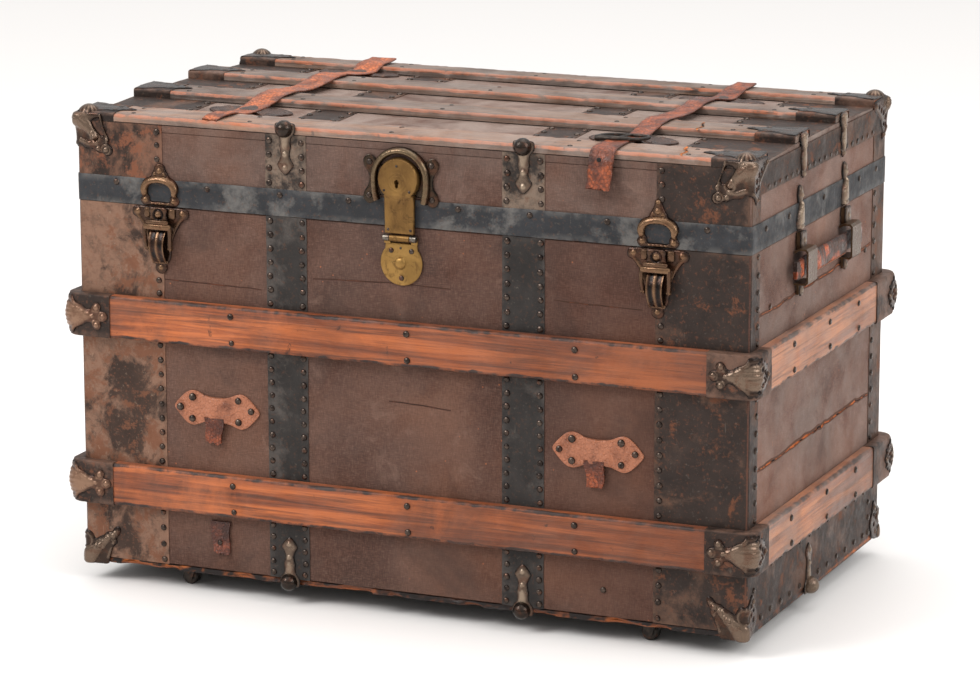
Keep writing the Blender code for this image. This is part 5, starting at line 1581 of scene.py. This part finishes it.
def clasp(name, x):
    """Spring clasp: keeper on the lid, base and leaf spring on the body, and the lever."""
    half = [(0, 476.9), (9, 477.3), (17, 476.9), (22.5, 477.6), (26, 483.5), (22.5, 490), (24.5, 496),
            (24.5, 501.5), (20.5, 508), (12, 512.6), (10.5, 516), (7.5, 520.5), (5.5, 526), (0, 528.5)]
    if name == "right":
        half = half[:-2] + [(4.6, 527), (3.4, 532), (0, 533.5)]
    hole = both_sides([(0, 482.0), (12, 482.0), (13.5, 487), (16.5, 492.5), (14.5, 500), (8.5, 504),
                       (0, 505)])
    knobs = [(0, 519, 3.6, 2.2), (-19, 483.5, 3.6, 2.2), (19, 483.5, 3.6, 2.2), (-6, 515.5, 2.2, 1.0),
             (6, 515.5, 2.2, 1.0)] + [(u, 479.4, 2.0, 0.9) for u in (-10, -5, 0, 5, 10)]
    if name == "right":
        knobs.append((0, 530, 3.0, 2.4))
    arch = [(20.8 * math.cos(math.radians(a)), 494.5 + 13.5 * math.sin(math.radians(a)), 5.2)
            for a in range(-6, 187, 12)]
    shape = relief(both_sides(half), 1.4, 1.3, 2.5, knobs, [(5.0, arch)], (), (), (), [hole], cell=1.0)
    keeper = Batch()
    keeper.cast(front_mm(x, LOCK_FRONT - 0.0006), shape)
    keeper.piece(f"clasp_hood_{name}", "bronze", "lid", "cast_iron", 50, (f"clasp_keeper_{name}",))

    half = [(0, 393.8), (5.5, 395.8), (7.8, 400.5), (7.2, 405), (11.0, 409), (13.4, 416), (14.5, 430),
            (18, 440), (23.5, 451), (30, 460), (36.8, 464.0), (37.2, 471.5), (32, 474.9), (15, 475.2),
            (0, 475.2)]
    knobs = [(-29.5, 469, 3.4, 2.0), (29.5, 469, 3.4, 2.0), (0, 401.5, 3.4, 2.0)]
    vein = ((33, 468, 2.5), (20, 452, 2.2), (14, 432, 2.2))
    veins = [(0.9, [(side * u, v, radius) for u, v, radius in vein]) for side in (1, -1)]
    shape = relief(both_sides(half), 1.0, 1.0, 2.5, knobs, veins, cell=1.0)
    base = Batch()
    base.cast(front_mm(x, LOCK_FRONT - 0.0008), shape)
    rings, tones = [], []
    widths = np.linspace(-1, 1, 19)
    for share in np.linspace(0, 1, 21):
        z = 408.0 + 39.5 * share
        lift = 1.5 + 12.0 * math.sin(math.pi * min(1.0, 0.06 + share * 0.80))
        ribs = 0.9 * np.abs(np.cos(widths * math.pi)) ** 3
        reach = 9.0 + 1.2 * share
        upper = rows_of(widths * reach, np.full(19, z), lift + ribs)
        lower = rows_of(widths[::-1] * reach, np.full(19, z + 0.4), np.full(19, lift - 1.6))
        rings.append(front_mm(x, LOCK_FRONT)(np.concatenate((upper, lower))))
        tones.append(np.concatenate((ribs / 0.9 * 0.8, np.zeros(19))))
    points, faces = loft(rings)
    base.add(points, faces, np.concatenate(tones))
    low = block((x - 0.0105, LOCK_PLANE - 0.0042, 0.4065), (x + 0.0105, LOCK_PLANE, 0.4105), 0.0012)
    base.add(*low, 0.6)
    for turn in (-1, 1):
        tongue = sorted((x + turn * 0.0120, x + turn * 0.0205))
        base.add(*block((tongue[0], LOCK_PLANE - 0.0046, 0.4620),
                        (tongue[1], LOCK_PLANE, 0.4745), 0.0016), 0.6)
    base.piece(f"clasp_base_plate_{name}", "bronze", "body", "cast_iron", 50, (f"clasp_base_{name}",))

    lever = Batch()
    lever.add(*block((x - 0.0185, LOCK_PLANE - 0.0125, 0.4490),
                     (x + 0.0185, LOCK_PLANE - 0.0070, 0.4560), 0.0018), 0.8)
    lever.add(*block((x - 0.0150, LOCK_PLANE - 0.0118, 0.4555),
                     (x + 0.0150, LOCK_PLANE - 0.0080, 0.4610), 0.0016), 0.6)
    frame_shape = relief([(-10, 459.5), (10, 459.5), (10.5, 467), (10, 475), (-10, 475), (-10.5, 467)],
                         2.6, 1.0, 2.2, [(0, 467.2, 3.8, 2.4)], (), (), (),
                         [(0, 467.2, 6.0, 1.2, -1.4)], cell=0.9)
    lever.cast(front_mm(x, LOCK_FRONT + 0.0036), frame_shape)
    for turn in (-1, 1):
        arm = []
        for z, out, reach in ((0.4520, 0.0098, 0.0168), (0.4440, 0.0096, 0.0170),
                              (0.4360, 0.0088, 0.0166),
                              (0.4290, 0.0072, 0.0158), (0.4235, 0.0058, 0.0152)):
            arm.append((x + turn * reach, LOCK_PLANE - out, z))
        lever.add(*tube(arm, (0.0026, 0.0027, 0.0028, 0.0030, 0.0018), 12), 0.5)
        pin = [(x + turn * 0.0136, LOCK_PLANE - 0.006, 0.427),
               (x + turn * 0.0178, LOCK_PLANE - 0.006, 0.427)]
        lever.add(*tube(pin, 0.0030, 12), 0.9)
    lever.piece(f"clasp_lever_{name}_casting", "bronze", f"clasp_lever_{name}", "cast_iron", 45,
                (f"clasp_lever_{name}",))


# Leather

def ribbon(path, widths, thick, seed, side=(1.0, 0.0, 0.0), ragged=0.0006, curl=0.0, fray=0.0):
    """A leather strap along a path, with uneven, slightly curled edges and a torn first end."""
    path = np.asarray(path, float)
    side = np.array(side)
    ahead = np.gradient(path, axis=0)
    ahead /= np.linalg.norm(ahead, axis=1, keepdims=True)
    widths = np.broadcast_to(widths, len(path))
    rings, tones = [], []
    shares = np.array((-1, -0.93, -0.75, -0.5, -0.25, 0, 0.25, 0.5, 0.75, 0.93, 1))
    rim = np.array((0.35, 0.8, 1, 1, 1, 1, 1, 1, 1, 0.8, 0.35))
    for number, (point, forward, width) in enumerate(zip(path, ahead, widths)):
        up = np.cross(side, forward)
        up = up / np.linalg.norm(up)
        if up[2] < -0.2:
            up = -up
        base = point + np.outer(shares * width / 2, side)
        out = ragged * rough(base, 0.009, seed) * np.sign(shares) * (np.abs(shares) > 0.9)
        base = base + np.outer(out, side)
        tear = fray * (rough(base, 0.004, seed + 5) + 0.4) * max(0.0, 1 - number / 2)
        base = base + np.outer(tear, forward)
        lift = thick * (0.5 * rim) + 0.0004 * rough(base, 0.014, seed + 1) + curl * shares ** 2
        sink = -thick * (0.5 * rim) + curl * shares ** 2
        upper = base + np.outer(lift, up)
        lower = base + np.outer(sink, up)
        rings.append(np.concatenate((upper, lower[::-1])))
        tones.append(np.concatenate((np.abs(shares) ** 6, np.ones(11) * 0.9)))
    points, faces = loft(rings)
    return points, faces, np.concatenate(tones)


def curve_through(points, count):
    """A smooth open path through points."""
    points = np.asarray(points, float)
    gaps = np.linalg.norm(np.diff(points, axis=0), axis=1)
    at = np.concatenate(((0,), np.cumsum(gaps)))
    padded = np.vstack((2 * points[0] - points[1], points, 2 * points[-1] - points[-2]))
    path = []
    for place in np.linspace(0, at[-1], count):
        index = min(np.searchsorted(at, place, side="right") - 1, len(points) - 2)
        t = (place - at[index]) / (at[index + 1] - at[index])
        a, b, c, d = padded[index:index + 4]
        path.append(0.5 * (2 * b + (c - a) * t + (2 * a - 5 * b + 4 * c - d) * t ** 2
                           + (3 * b - a - 3 * c + d) * t ** 3))
    return np.array(path)


LID_KEEPER_PLACES = ((-0.2495, -0.1400), (-0.2540, 0.1800), (0.2480, -0.1430), (0.2480, 0.1560))
KEEPER_NAILS = ((-32, 13.5), (-48, 0), (-32, -13), (30, 14), (47, 2.5), (30, -12.5))


def keeper_shape():
    """A dog-bone leather keeper with three nails at each end, bowed over a strap in the middle."""
    half = [(-57, 0), (-53, 6.5), (-46, 14), (-39, 19.5), (-32, 21.5), (-25, 20), (-15, 16), (0, 14.6),
            (15, 16), (25, 20), (32, 21.5), (39, 19.5), (46, 14), (53, 6.5), (57, 0)]
    knobs = [(u, v, 4.6, 1.0) for u, v in KEEPER_NAILS]

    def bow(u, v, d):
        edge_line = -0.35 * np.exp(-((d - 2.6) / 0.7) ** 2)
        return edge_line + 3.4 * np.exp(-(u / 17.0) ** 4) + 0.3 * np.sin(u * 0.35 + v * 0.2)

    return relief(upper_and_lower(half), 1.6, 0.9, 2.0, knobs, (), (), (), (), extra=bow, cell=1.3)


def torn_tongue(place, x, top, low, width, seed, lift=0.0035):
    """The torn end of a strap under a keeper."""
    rings, tones = [], []
    for share in np.linspace(0, 1, 12):
        z = top + (low - top) * share
        reach = width / 2 * (1 - 0.25 * share)
        columns = np.linspace(-1, 1, 9)
        u = x + reach * columns + 0.0012 * math.sin(6 * share + seed)
        upper = rows_of(u, np.full(9, z), np.full(9, lift + 0.0028 * (1 - share * 0.5)))
        upper[:, 2] += rough(upper, 0.006, seed) * 0.0008 + 0.0016 * share ** 2
        upper[:, 1] += rough(upper, 0.005, seed + 2) * 0.0035 * share
        lower = upper[::-1].copy()
        lower[:, 2] = np.maximum(lower[:, 2] - 0.0024, 0.0004)
        rings.append(place(np.concatenate((upper, lower))))
        tones.append(np.full(18, 0.8 - 0.8 * share))
    points, faces = loft(rings)
    return points, faces, np.concatenate(tones)


def keepers():
    """Leather keepers on the front and the lid with their nails, and torn strap ends."""
    shape = keeper_shape()
    place = on_wall("front")
    for name, x, z in (("left", -0.2472, 0.2320), ("right", 0.2465, 0.2290)):
        batch = Batch()
        batch.add(shifted(place, x, z, lift=0.0004)(shape[0]), shape[1], 0.0)
        batch.piece(f"front_keeper_{name}", "keeper", "body", "leather", 50)
        nails = Batch()
        for u, v in KEEPER_NAILS:
            nail(nails, place, x + u * MM, z + v * MM, 0.0036, 0.0046, 0.0034)
        nails.piece(f"front_keeper_nails_{name}", "nail", "body", "cast_iron", 30)
        torn = Batch()
        torn.add(*torn_tongue(place, x - 0.0025, z - 0.010, z - 0.041, 0.026, 5.0 + x * 20))
        torn.piece(f"torn_strap_{name}", "strap", "body", "leather", 50)
    stub = Batch()
    stub.add(*torn_tongue(place, -0.2440, 0.0930, 0.0520, 0.027, 3.0, lift=0.0006))
    stub.piece("nailed_strap_end", "strap_red", "body", "leather", 50)
    fixings = Batch()
    nail(fixings, place, -0.2450, 0.0670, 0.0038, 0.0036, 0.002)
    nail(fixings, place, 0.2540, 0.0630, 0.0004)
    fixings.piece("strap_end_nails", "nail", "body", "cast_iron", 30)
    for number, (x, y) in enumerate(LID_KEEPER_PLACES):
        batch = Batch()
        batch.add(shifted(on_top, x, y, scale=MM * 0.98, lift=0.0005)(shape[0]), shape[1], 0.1)
        batch.piece(f"lid_keeper_{number + 1}", "strap_dull", "lid", "leather", 50)


def lid_straps():
    """The two old straps that lie across the lid's slats."""
    def over(x, y, lift):
        return (x, y, LID_EDGE + crown(y) + lift)

    high = SKIN + LID_SLAT_THICK + 0.0017
    left = [over(*spot) for spot in ((-0.2530, -0.2440, high - 0.002),
                                     (-0.2520, -0.2330, high + 0.0008),
            (-0.2510, -0.2050, high), (-0.2500, -0.1820, 0.0062), (-0.2490, -0.1400, 0.0040),
            (-0.2480, -0.1080, 0.0080), (-0.2470, -0.0860, high), (-0.2460, -0.0600, high + 0.0002),
            (-0.2460, -0.0300, 0.0088), (-0.2460, 0.0000, 0.0072), (-0.2460, 0.0350, 0.0090),
            (-0.2460, 0.0620, high), (-0.2460, 0.0900, high), (-0.2460, 0.1150, 0.0082),
            (-0.2460, 0.1600, 0.0040), (-0.2460, 0.1800, 0.0045), (-0.2460, 0.2020, high),
            (-0.2460, 0.2260, high + 0.0010), (-0.2455, 0.2390, high + 0.0030))]
    path = curve_through(left, 90)
    share = np.linspace(0, 1, 90)
    widths = 0.0195 + 0.0150 * np.clip(share * 4.2, 0, 1) + 0.0020 * np.sin(share * 21)
    batch = Batch()
    batch.add(*ribbon(path, widths, 0.0028, 81.0, ragged=0.0013, curl=0.0006, fray=0.004))
    batch.piece("lid_strap_over_left", "strap_torn", "lid", "leather", 50, ("lid_strap_left",))
    right = [(0.2495, -0.2590, 0.5400), (0.2500, -0.2570, 0.5530), (0.2505, -0.2550, 0.5650),
             (0.2505, -0.2530, 0.5745), (0.2510, -0.2490, 0.5820), (0.2510, -0.2400, 0.5862)]
    right += [over(*spot) for spot in ((0.2510, -0.2200, high), (0.2510, -0.1960, high - 0.001),
                                       (0.2510, -0.1780, 0.0080),
              (0.2500, -0.1430, 0.0045), (0.2500, -0.1080, 0.0080), (0.2500, -0.0850, high),
              (0.2500, -0.0600, high), (0.2500, -0.0250, 0.0092), (0.2500, 0.0100, 0.0078),
              (0.2500, 0.0400, 0.0092), (0.2500, 0.0620, high), (0.2500, 0.0950, high),
              (0.2500, 0.1230, 0.0078), (0.2500, 0.1560, 0.0045), (0.2500, 0.1850, 0.0078),
              (0.2500, 0.2040, high), (0.2500, 0.2280, high), (0.2500, 0.2420, high + 0.0016))]
    path = curve_through(right, 110)
    share = np.linspace(0, 1, 110)
    widths = 0.0275 + 0.0020 * np.sin(share * 17) + 0.0030 * np.clip(1 - share * 9, 0, 1)
    batch = Batch()
    batch.add(*ribbon(path, widths, 0.0028, 87.0, ragged=0.0012, curl=0.0005, fray=0.004))
    batch.piece("lid_strap_over_right", "strap", "lid", "leather", 50, ("lid_strap_right",))
    # A near-black disc on the strap is painted shadow in the punched hole.
    hole = Batch()
    nail(hole, on_wall("front"), 0.2485, 0.5745, 0.0088, 0.0030, 0.0012, 0.0)
    hole.piece("punched_hole", "shadow", "lid", "leather", 50)


def buckle():
    """A dark wire roller buckle round the right strap."""
    batch = Batch()
    level = LID_EDGE + crown(-0.17) + SKIN + LID_SLAT_THICK
    loop = [(0.2260, -0.1980), (0.2460, -0.2005), (0.2680, -0.1960), (0.2745, -0.1820),
            (0.2735, -0.1600), (0.2640, -0.1480), (0.2440, -0.1460), (0.2280, -0.1500),
            (0.2205, -0.1640),
            (0.2200, -0.1850)]
    path = smooth_outline(loop, 6)
    tilt = level + 0.0030 - 0.020 * (path[:, 1] + 0.2000) / 0.055 * 0.25
    wire = np.column_stack((path, np.minimum(tilt, 0.5912)))
    batch.add(*tube(wire, 0.0021, 12, closed=True), 0.5)
    roller = [(0.2225, -0.1990, level + 0.0022), (0.2440, -0.2010, level + 0.0030),
              (0.2650, -0.1975, level + 0.0022)]
    batch.add(*tube(curve_through(roller, 12), 0.0034, 14), 0.8)
    tongue = [(0.2470, -0.1480, level - 0.001), (0.2468, -0.1720, level + 0.001),
              (0.2465, -0.1990, level + 0.0035)]
    batch.add(*tube(curve_through(tongue, 10), 0.0014, 10), 0.5)
    batch.piece("wire_buckle", "iron_part", "lid", "cast_iron", 45)


def handle(width):
    """Leather handle: a strap through both brackets and a sewn grip."""
    body = f"handle_{width}"
    low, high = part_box(body)
    near = min(abs(low.x), abs(high.x))
    middle_z = (low.z + high.z) / 2
    lift = near - HALF_W
    place = on_wall(width)

    def at(y, out, z=middle_z):
        return place(np.array([(y, z, out)]))[0]

    path = [at(-0.1215, lift + 0.0024), at(-0.1140, lift + 0.0030), at(-0.0950, lift + 0.0020),
            at(-0.0700, lift + 0.0016), at(-0.0400, lift + 0.0022), at(0.0, lift + 0.0026),
            at(0.0400, lift + 0.0022),
            at(0.0700, lift + 0.0016), at(0.0950, lift + 0.0020), at(0.1140, lift + 0.0030),
            at(0.1215, lift + 0.0024)]
    batch = Batch()
    share = np.linspace(-1, 1, 60)
    widths = 0.0225 * np.sqrt(np.clip(1.04 - np.abs(share) ** 14, 0.2, 1))
    batch.add(*ribbon(curve_through(path, 60), widths, 0.0030, 91.0, side=(0.0, 0.0, 1.0),
                      ragged=0.0003))
    for end in (-1, 1):
        for layer in (0.0, 0.0024):
            stub = [at(end * 0.098, lift + 0.0030 + layer), at(end * 0.112, lift + 0.0032 + layer),
                    at(end * 0.1212, lift + 0.0020 + layer)]
            batch.add(*ribbon(curve_through(stub, 12), 0.0205, 0.0022, 93.0 + layer,
                              side=(0.0, 0.0, 1.0)))
    rings, tones = [], []
    angles = np.linspace(0, 2 * math.pi, 36, endpoint=False)
    for share in np.linspace(-1, 1, 49):
        y = share * 0.0578
        swell = (1 - abs(share) ** 10 * 0.35)
        half_z = 0.0134 * swell
        half_out = 0.0042 * swell
        a = np.abs(np.cos(angles)) ** 0.7 * np.sign(np.cos(angles)) * half_z
        b = np.abs(np.sin(angles)) ** 0.8 * np.sign(np.sin(angles)) * half_out
        ring = rows_of(np.full(36, y), middle_z + a, lift + 0.0041 + b)
        dent = rough(ring, 0.012, 95.0) * 0.0007
        ring[:, 2] += np.minimum(dent, 0.0002)
        rings.append(place(ring))
        tones.append(np.clip(0.35 * np.abs(share) ** 6 + (np.abs(a) > 0.0118) * 0.5, 0, 1))
    points, faces = loft(rings)
    batch.add(points, faces, np.concatenate(tones))
    batch.piece(f"leather_handle_{width}", "grip", body, "leather", 50, (body,))
    stitches = Batch()
    for y in spaced(-0.050, 0.050, 0.0042):
        stitch = [at(y - 0.0010, lift + 0.0068, middle_z - 0.0112),
                  at(y, lift + 0.0080, middle_z - 0.0105),
                  at(y + 0.0010, lift + 0.0068, middle_z - 0.0098)]
        stitches.add(*tube(stitch, 0.0005, 6), 0.2)
    stitches.piece(f"handle_stitches_{width}", "keeper", body, "leather", 50)


# Foot of the case, cracks in the canvas and the inside

def bottom():
    """The bottom board with its splintered, pale edges; the unsplintered wood is near-black, painted
    shadow.
    """
    low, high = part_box("bottom_board")
    top = FOOT - 0.0003
    xs = spaced(low.x + 0.0008, high.x - 0.0008, 0.0045)
    batch = Batch()
    rings, tones = [], []
    for x in xs:
        half = -low.y - 0.0006
        profile = np.array([(x, -half + 0.020, low.z), (x, -half + 0.006, low.z),
                            (x, -half, low.z + 0.0015),
                            (x, -half, low.z + 0.0045), (x, -half, top - 0.001),
                            (x, -half + 0.003, top),
                            (x, half - 0.003, top), (x, half, top - 0.001), (x, half, low.z + 0.0045),
                            (x, half, low.z + 0.0015), (x, half - 0.006, low.z),
                            (x, half - 0.020, low.z)])
        edge = np.array((0, 0.4, 1, 1, 0.8, 0.2, 0.2, 0.8, 1, 1, 0.4, 0))
        bite = np.clip(rough(profile * (1.0, 0.3, 2.0), 0.020, 99.0) + 0.1, 0, 1) * 0.0070
        bite += np.clip(rough(profile * (1.0, 0.3, 2.0), 0.005, 98.0), 0, 1) * 0.0025
        profile[:, 1] -= np.sign(profile[:, 1]) * bite * edge
        profile[:, 2] += np.where(profile[:, 2] < low.z + 0.002, bite * 0.5 * edge, 0)
        rings.append(profile)
        # Unbitten wood keeps a high tone, which the bare look paints near-black: painted shadow.
        tones.append(1 - np.clip(bite * 330, 0, 1) * edge)
    points, faces = loft(rings)
    batch.add(points, faces, np.concatenate(tones) * 0.62)
    batch.piece("splintered_bottom", "bare", "body", "bare_board", 40, ("bottom_board",))


def crack(batch, place, line, width, seed, lip=0.0006, step=0.004, reach=0.0022, stray=0.0016):
    """A split in the canvas: two curled lips with bare wood between them."""
    path = curve_through([(u, v, 0.0) for u, v in line],
                         max(8, int(abs(line[-1][0] - line[0][0]) / step)))
    path[:, 1] += rough(path + seed, 0.013, seed) * stray
    total = len(path)
    rings, tones = [], []
    for index, point in enumerate(path):
        share = index / (total - 1)
        taper = math.sin(math.pi * min(1.0, max(0.0, share))) ** 0.4
        noise_here = float(rough(np.array([point]), 0.02, seed + 4)[0])
        half = width * taper * (0.6 + 0.5 * noise_here) / 2 + 0.00008
        rise = lip * taper * (1 + 0.7 * float(rough(np.array([point]), 0.011, seed + 6)[0]))
        offsets = ((-half - reach, 0.00005), (-half - reach * 0.36, rise), (-half, rise * 0.9),
                   (-half * 0.8, 0.00012), (half * 0.8, 0.00012), (half, rise * 0.8),
                   (half + reach * 0.36, rise * 0.7),
                   (half + reach, 0.00005), (half + reach, 0.0), (-half - reach, 0.0))
        ring = [(point[0], point[1] + v, w) for v, w in offsets]
        rings.append(place(np.array(ring)))
        tones.append((0.0, 0.1, 0.5, 1.0, 1.0, 0.5, 0.1, 0.0, 0.0, 0.0))
    points, faces = loft(rings)
    batch.add(points, faces, np.concatenate(tones))


FRONT_CRACKS = ([(-0.316, 0.3870), (-0.255, 0.3862), (-0.186, 0.3850)],
                [(-0.118, 0.4040), (-0.020, 0.4070), (0.060, 0.4060)],
                [(0.190, 0.4045), (0.235, 0.4030), (0.300, 0.4020)],
                [(-0.020, 0.2640), (0.020, 0.2630), (0.060, 0.2600)])
END_SPLIT = [(-0.212, 0.2170), (-0.150, 0.2165), (-0.060, 0.2185), (0.040, 0.2180), (0.120, 0.2190),
             (0.198, 0.2170)]
END_CRACK = [(-0.218, 0.3985), (-0.120, 0.4000), (0.0, 0.4030), (0.100, 0.4050), (0.196, 0.4075)]
SLAT_SPLITS = ([(-0.1055, 0.3130), (-0.0960, 0.3095), (-0.0860, 0.3110), (-0.0700, 0.3060),
                (-0.0550, 0.3035)],
               [(-0.2440, 0.3450), (-0.2350, 0.3420), (-0.2250, 0.3435), (-0.2100, 0.3370),
                (-0.1960, 0.3350)])


def over_slat(points):
    """Map (y, x, lift) to the top of the lid's slats."""
    y, x, lift = np.asarray(points, float).T
    return on_top(rows_of(x, y, SKIN + LID_SLAT_THICK + lift))


def cracks():
    """Splits and hairline cracks of the canvas, and splits in two of the lid's slats."""
    hair = Batch()
    place = on_wall("front")
    for number, line in enumerate(FRONT_CRACKS):
        crack(hair, place, line, 0.0006, 11.0 + number, lip=0.0002, reach=0.0007, stray=0.0005)
    hair.piece("front_cracks", "split_front", "body", "canvas_board", 50)
    for side, seed in (("right", 3.0), ("left", 7.0)):
        batch = Batch()
        crack(batch, on_wall(side), END_SPLIT, 0.0042, seed, lip=0.0016)
        crack(batch, on_wall(side), END_CRACK, 0.0012, seed + 1, lip=0.0006)
        batch.piece(f"end_splits_{side}", "split_end", "body", "canvas_board", 50)
    batch = Batch()
    for number, line in enumerate(SLAT_SPLITS):
        crack(batch, over_slat, line, 0.0050, 21.0 + number, lip=0.0004, step=0.002, reach=0.0010,
              stray=0.0012)
    batch.piece("slat_splits", "split_slat", "lid", "slat_wood", 50)


WALL = 0.0112


def lining():
    """Paper inside the chest and the lid, and cleats for a tray."""
    x = HALF_W - WALL
    y = HALF_D - WALL
    for part, body, low, high in (("chest", "body", FOOT + 0.0035, SEAM_LOW - 0.012),
                                  ("lid", "lid", SEAM_HIGH + 0.012, LID_EDGE - 0.0095)):
        batch = Batch()
        for side in (-1, 1):
            for length, inner in ((0, y), (1, x)):
                reach = (x if length == 0 else y) - 0.001
                us = spaced(-reach, reach, 0.012)
                vs = spaced(low, high, 0.012)
                u, v = np.meshgrid(us, vs, indexing="ij")
                flat = rows_of(u.ravel(), v.ravel(), np.full(u.size, side * 3.0 + length))
                out = 0.0003 + 0.0003 * (1 + rough(flat, 0.03, 40.0 + length))
                for_upper = side * (inner - out)
                for_lower = np.full(u.size, side * inner)
                grids = []
                for across in (for_upper, for_lower):
                    if length == 0:
                        grid = rows_of(u.ravel(), across, v.ravel())
                    else:
                        grid = rows_of(across, u.ravel(), v.ravel())
                    grids.append(grid.reshape(u.shape + (3,)))
                batch.add(*slab(*grids))
        us = spaced(-x + 0.001, x - 0.001, 0.012)
        vs = spaced(-y + 0.001, y - 0.001, 0.012)
        u, v = np.meshgrid(us, vs, indexing="ij")
        flat = rows_of(u.ravel(), v.ravel(), np.zeros(u.size))
        wave = 0.0004 * (1 + rough(flat, 0.035, 44.0))
        if part == "chest":
            base = np.full(u.size, FOOT + 0.0031)
            top = base + 0.0003 + wave
        else:
            base = LID_EDGE + crown(v.ravel()) - 0.0081
            top = base - 0.0003 - wave
        grids = [rows_of(u.ravel(), v.ravel(), level).reshape(u.shape + (3,)) for level in (top, base)]
        batch.add(*slab(*grids))
        batch.piece(f"lining_{part}", "paper", body, "canvas_board", 50)
    cleats = Batch()
    for side in (-1, 1):
        low, high = sorted((side * (x - 0.0004), side * (x - 0.0130)))
        cleats.add(*worn_board((low, -y + 0.004, 0.3700), (high, y - 0.004, 0.3880), 1, -side,
                               seed=77.0, chips=0.5, round_edge=0.0015))
    cleats.piece("tray_cleats", "slat_end", "body", "bare_board", 50)


# Stage

SKY_LOW = 0.40
SKY_HIGH = 1.40
FLOOR_COLOUR = (0.785, 0.762, 0.742, 1.0)
FLOOR_HALF = 30.0
LAMPS = (("key", (-2.6, -3.2, 3.6), (0.0, 0.0, 0.3), 2.2, 165.0),
         ("side", (3.6, -0.6, 2.4), (0.2, 0.0, 0.3), 2.0, 75.0),
         ("top", (0.3, 0.6, 4.0), (0.0, 0.0, 0.5), 3.0, 65.0))
CAMERA_LENS = 150.5
CAMERA_PLACE = (1.9376, -4.5293, 1.4127)
CAMERA_TURN = (77.005, 0.0, 23.106)


def stage():
    """Pale floor, soft studio light and the camera at the photograph's angle."""
    floor = bpy.data.materials.new("pale_floor")
    floor.use_nodes = True
    shader = floor.node_tree.nodes["Principled BSDF"]
    shader.inputs["Base Color"].default_value = FLOOR_COLOUR
    shader.inputs["Roughness"].default_value = 0.6
    size = FLOOR_HALF
    mesh = bpy.data.meshes.new("floor")
    mesh.from_pydata([(-size, -size, 0), (size, -size, 0), (size, size, 0), (-size, size, 0)], [],
                     [(0, 1, 2, 3)])
    mesh.materials.append(floor)
    plane = bpy.data.objects.new("floor", mesh)
    bpy.context.scene.collection.objects.link(plane)
    world = bpy.data.worlds.new("studio")
    bpy.context.scene.world = world
    world.use_nodes = True
    tree = world.node_tree
    where = tree.nodes.new("ShaderNodeTexCoord")
    split = tree.nodes.new("ShaderNodeSeparateXYZ")
    tree.links.new(where.outputs["Generated"], split.inputs["Vector"])
    height = tree.nodes.new("ShaderNodeMapRange")
    height.inputs["To Min"].default_value = SKY_LOW
    height.inputs["To Max"].default_value = SKY_HIGH
    tree.links.new(split.outputs["Z"], height.inputs["Value"])
    tree.links.new(height.outputs["Result"], tree.nodes["Background"].inputs["Strength"])
    tree.nodes["Background"].inputs["Color"].default_value = (1.0, 1.0, 1.0, 1.0)
    bpy.context.scene.view_settings.view_transform = "Standard"
    for name, where, target, size, power in LAMPS:
        lamp = bpy.data.lights.new(name, "AREA")
        lamp.energy = power
        lamp.size = size
        holder = bpy.data.objects.new(name, lamp)
        holder.location = where
        aim = np.array(target) - np.array(where)
        holder.rotation_euler = Vector(aim).to_track_quat("-Z", "Y").to_euler()
        bpy.context.scene.collection.objects.link(holder)
    lens = bpy.data.cameras.new("camera")
    lens.sensor_width = 36.0
    lens.lens = CAMERA_LENS
    camera = bpy.data.objects.new("camera", lens)
    camera.location = CAMERA_PLACE
    camera.rotation_euler = [math.radians(angle) for angle in CAMERA_TURN]
    bpy.context.scene.collection.objects.link(camera)
    bpy.context.scene.camera = camera


def main():
    """Build every piece."""
    paint_case()
    sheet_iron("body", "body", FOOT, SEAM_LOW)
    sheet_iron("lid", "lid", SEAM_HIGH, LID_EDGE)
    end_sheets()
    top_sheets()
    lid_band()
    body_nails()
    slat_nails()
    lid_nails()
    body_slats()
    lid_slats()
    slat_clamps()
    lid_caps()
    slat_ends()
    slat_irons()
    ball_bumpers()
    foot_caps()
    dowels()
    lock()
    for name, side in SIDES.items():
        clasp(name, side * CLASP_PLACE)
        handle(name)
    keepers()
    lid_straps()
    buckle()
    bottom()
    cracks()
    lining()
    stage()
    bpy.context.view_layer.update()


main()
